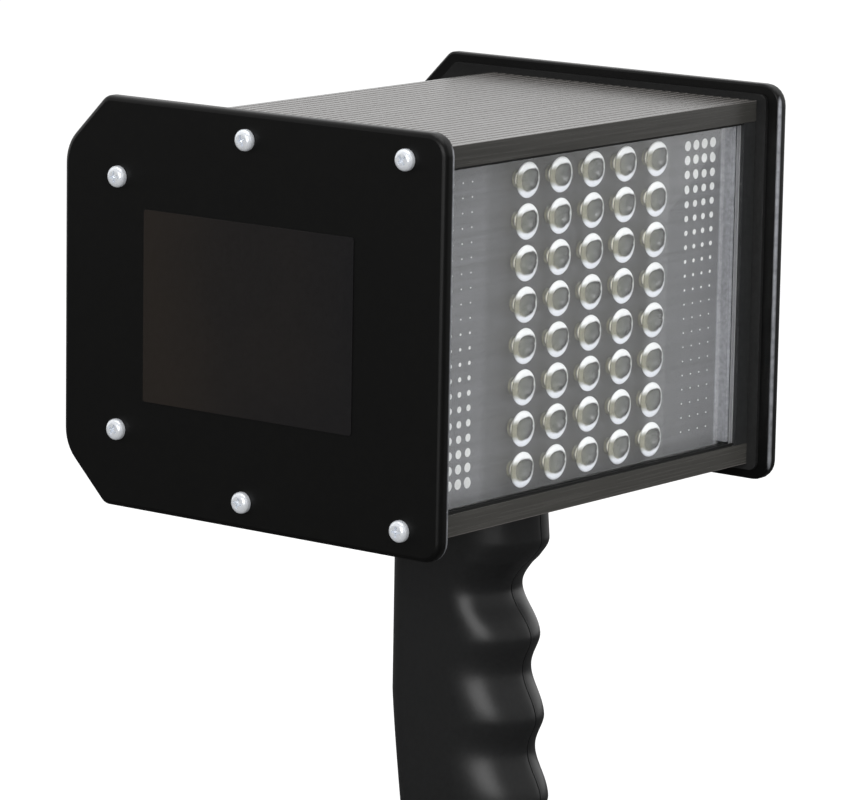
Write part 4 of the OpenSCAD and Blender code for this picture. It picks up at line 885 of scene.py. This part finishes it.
FACE_FRONT, INK_T = -52.2, 0.04
DOT_X = (-62.0, -57.9, -53.8, -49.7, 49.7, 53.8, 57.9, 62.0)
DOT_PITCH, DOT_ROWS = 4.1, 21
# Radius of the largest dots, the share that the smallest keep, and how fast they shrink by row
DOT_R, DOT_LEAST, DOT_SHRINK = 1.45, 0.16, 1.5


def dot():
    """A flat dot of radius 1."""
    bm = bmesh.new()
    bmesh.ops.create_cone(bm, cap_ends=True, segments=14, radius1=1.0, radius2=1.0,
                          depth=INK_T * MM)
    return bm


dot_places = []
for x in DOT_X:
    for row in range(DOT_ROWS):
        z = (row - (DOT_ROWS - 1) / 2) * DOT_PITCH
        share = row / (DOT_ROWS - 1)
        r = DOT_R * max(DOT_LEAST, 1.0 - DOT_SHRINK * (share if x < 0 else 1.0 - share)) * MM
        at = on_body(x, FACE_FRONT - INK_T / 2, z)
        dot_places.append(facing(at, (0, -1, 0)) @ Matrix.Diagonal((r, r, 1.0, 1.0)))
place_piece("face_print", scattered(dot(), dot_places), [WHITE_INK])


# Camera, studio and floor

FOCAL_PX, IMAGE_W, SENSOR_W = 4957.2, 850.0, 36.0
CAMERA_AZ, CAMERA_EL, CAMERA_ROLL = -0.90491, 0.18283, 0.01702
CAMERA_SHIFT, CAMERA_DISTANCE = (-0.95, -31.34), 1403.7
# Level direction from the camera to what lies behind the object
BEHIND = (0.79, 0.61, 0.0)
WHITE = (1.0, 1.0, 1.0, 1.0)
# The backdrop: its light on the object, and its mirror image from the camera's side to behind
WORLD_FILL, WORLD_TURN, WORLD_MIRRORED = 0.5, (-0.2, 0.5), (0.45, 1.15)
# The floor: its glow in the picture, and its mirror image from near the object to far behind it
FLOOR_GLOW, FLOOR_TURN, FLOOR_MIRRORED = 0.88, (0.45, 0.9), (0.0, 0.9)
FLOOR_R, FLOOR_DROP = 6.0, 0.0005
FLOOR_LOW, FLOOR_HIGH = (0.29, 0.29, 0.29), (0.31, 0.31, 0.31)


def make_camera():
    """The photograph's camera, turned about the body's centre."""
    level = math.cos(CAMERA_EL)
    back = Vector((math.sin(CAMERA_AZ) * level, -math.cos(CAMERA_AZ) * level, math.sin(CAMERA_EL)))
    right = Vector((0, 0, 1)).cross(back).normalized()
    up = back.cross(right)
    c, s = math.cos(CAMERA_ROLL), math.sin(CAMERA_ROLL)
    right, up = right * c + up * s, up * c - right * s
    shift = right * CAMERA_SHIFT[0] + up * CAMERA_SHIFT[1]
    at = CENTRE + (shift + back * CAMERA_DISTANCE) * MM
    data = bpy.data.cameras.new("camera")
    data.sensor_width = SENSOR_W
    data.lens = FOCAL_PX / IMAGE_W * SENSOR_W
    data.clip_start, data.clip_end = 0.05, 50.0
    camera = put_in_scene("camera", data)
    camera.matrix_world = Matrix.Translation(at) @ Matrix((right, up, back)).transposed().to_4x4()
    bpy.context.scene.camera = camera


def ray_level(tree, plain, glossy, direct):
    """A level for each kind of ray: light on the object, mirror images, and the picture itself."""
    path = add(tree, "LightPath").outputs
    seen = maths(tree, "MAXIMUM", path["Is Camera Ray"], path["Is Transmission Ray"])
    mirrored = between(tree, path["Is Glossy Ray"], 0.0, 1.0, plain, glossy)
    return between(tree, seen, 0.0, 1.0, mirrored, direct)


def make_world():
    """White backdrop. Its mirror image is bright behind the object and dim on the camera's side."""
    world = bpy.data.worlds.new("studio")
    bpy.context.scene.world = world
    world.use_nodes = True
    tree = world.node_tree
    behind = reach_along(tree, add(tree, "TexCoord").outputs["Generated"], BEHIND)
    mirrored = between(tree, behind, *WORLD_TURN, *WORLD_MIRRORED)
    join_all(tree, tree.nodes["Background"],
             {"Strength": ray_level(tree, WORLD_FILL, mirrored, 1.0), "Color": WHITE})
    world.cycles.sampling_method = "NONE"


def make_floor():
    """A wide pale floor under the foot. It shows white where it is seen, and keeps the shadow."""
    bm = bmesh.new()
    bmesh.ops.create_circle(bm, cap_ends=True, segments=96, radius=FLOOR_R,
                            matrix=Matrix.Translation((0, 0, -FLOOR_DROP)))
    floor = put_in_scene("floor", mesh_of("floor", bm))
    material, tree, place = new_finish("pale_floor")
    pale = two_tone(tree, grain(tree, place, 3.0), FLOOR_LOW, FLOOR_HIGH)
    mirrored = between(tree, reach_along(tree, place, BEHIND), *FLOOR_TURN, *FLOOR_MIRRORED)
    shade(tree, Base_Color=scaled(tree, pale, ray_level(tree, 1.0, 0.3, 1.0)), Roughness=0.9,
          Specular_IOR_Level=0.0, Emission_Color=WHITE,
          Emission_Strength=ray_level(tree, 0.0, mirrored, FLOOR_GLOW))
    floor.data.materials.append(material)


def softbox(name, at, target, size, power, mirrored=True):
    """A soft lamp. One that isn't mirrored lights the object without a highlight of its own."""
    data = bpy.data.lights.new(name, "AREA")
    data.shape = "RECTANGLE"
    data.size, data.size_y = size
    data.energy = power
    lamp = put_in_scene(name, data)
    lamp.location = at
    lamp.rotation_euler = (Vector(target) - Vector(at)).to_track_quat("-Z", "Y").to_euler()
    lamp.visible_glossy = mirrored


make_camera()
make_world()
make_floor()
softbox("top_box", (0.0, -0.1, 1.6), CENTRE, (1.4, 1.4), 12.0)
softbox("front_box", (-0.2, -1.8, 1.0), CENTRE, (0.9, 0.9), 6.0, mirrored=False)
softbox("left_box", (-1.81, -0.42, 0.48), (0.0, 0.0, 0.1), (1.05, 1.05), 15.0)
softbox("camera_box", (-1.35, -1.05, 0.08), CENTRE, (0.35, 0.3), 2.5, mirrored=False)
bpy.context.scene.view_settings.view_transform = "Standard"


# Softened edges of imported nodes, each with its width in millimetres

SOFT_SEGMENTS, SOFT_ANGLE = 2, 40.0
SOFT_EDGES = {
    "upper_extrusion": 0.04, "lower_extrusion": 0.04, "left_end_cap": 0.4, "right_end_cap": 0.4,
    "inlet_body": 0.3, "power_switch_body": 0.4, "power_rocker": 0.3, "display_window": 0.25,
    "halve_button": 0.25, "double_button": 0.25, "phase_button": 0.25, "memory_button": 0.25,
    "external_button": 0.25, "tuning_knob": 0.15, "trigger_input_jack": 0.15,
    "trigger_output_jack": 0.15, "jack_nuts": 0.15, "tripod_bush": 0.2,
}
for node, width in SOFT_EDGES.items():
    packed = NODES[node]
    packed.data.shade_smooth()
    weld = packed.modifiers.new("weld", "WELD")
    weld.merge_threshold = MERGE
    soft = packed.modifiers.new("soft_edges", "BEVEL")
    soft.width = width * MM
    soft.segments = SOFT_SEGMENTS
    soft.limit_method = "ANGLE"
    soft.angle_limit = math.radians(SOFT_ANGLE)
    soft.use_clamp_overlap = True
    soft.harden_normals = False
    even = packed.modifiers.new("even_normals", "WEIGHTED_NORMAL")
    even.weight = 100


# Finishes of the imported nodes, each by its slot in the record

for subpart in frame["record"]["subparts"]:
    mesh = NODES[subpart["node"]].data
    mesh.materials.clear()
    mesh.materials.append(FINISHES[subpart["material_slot"]])
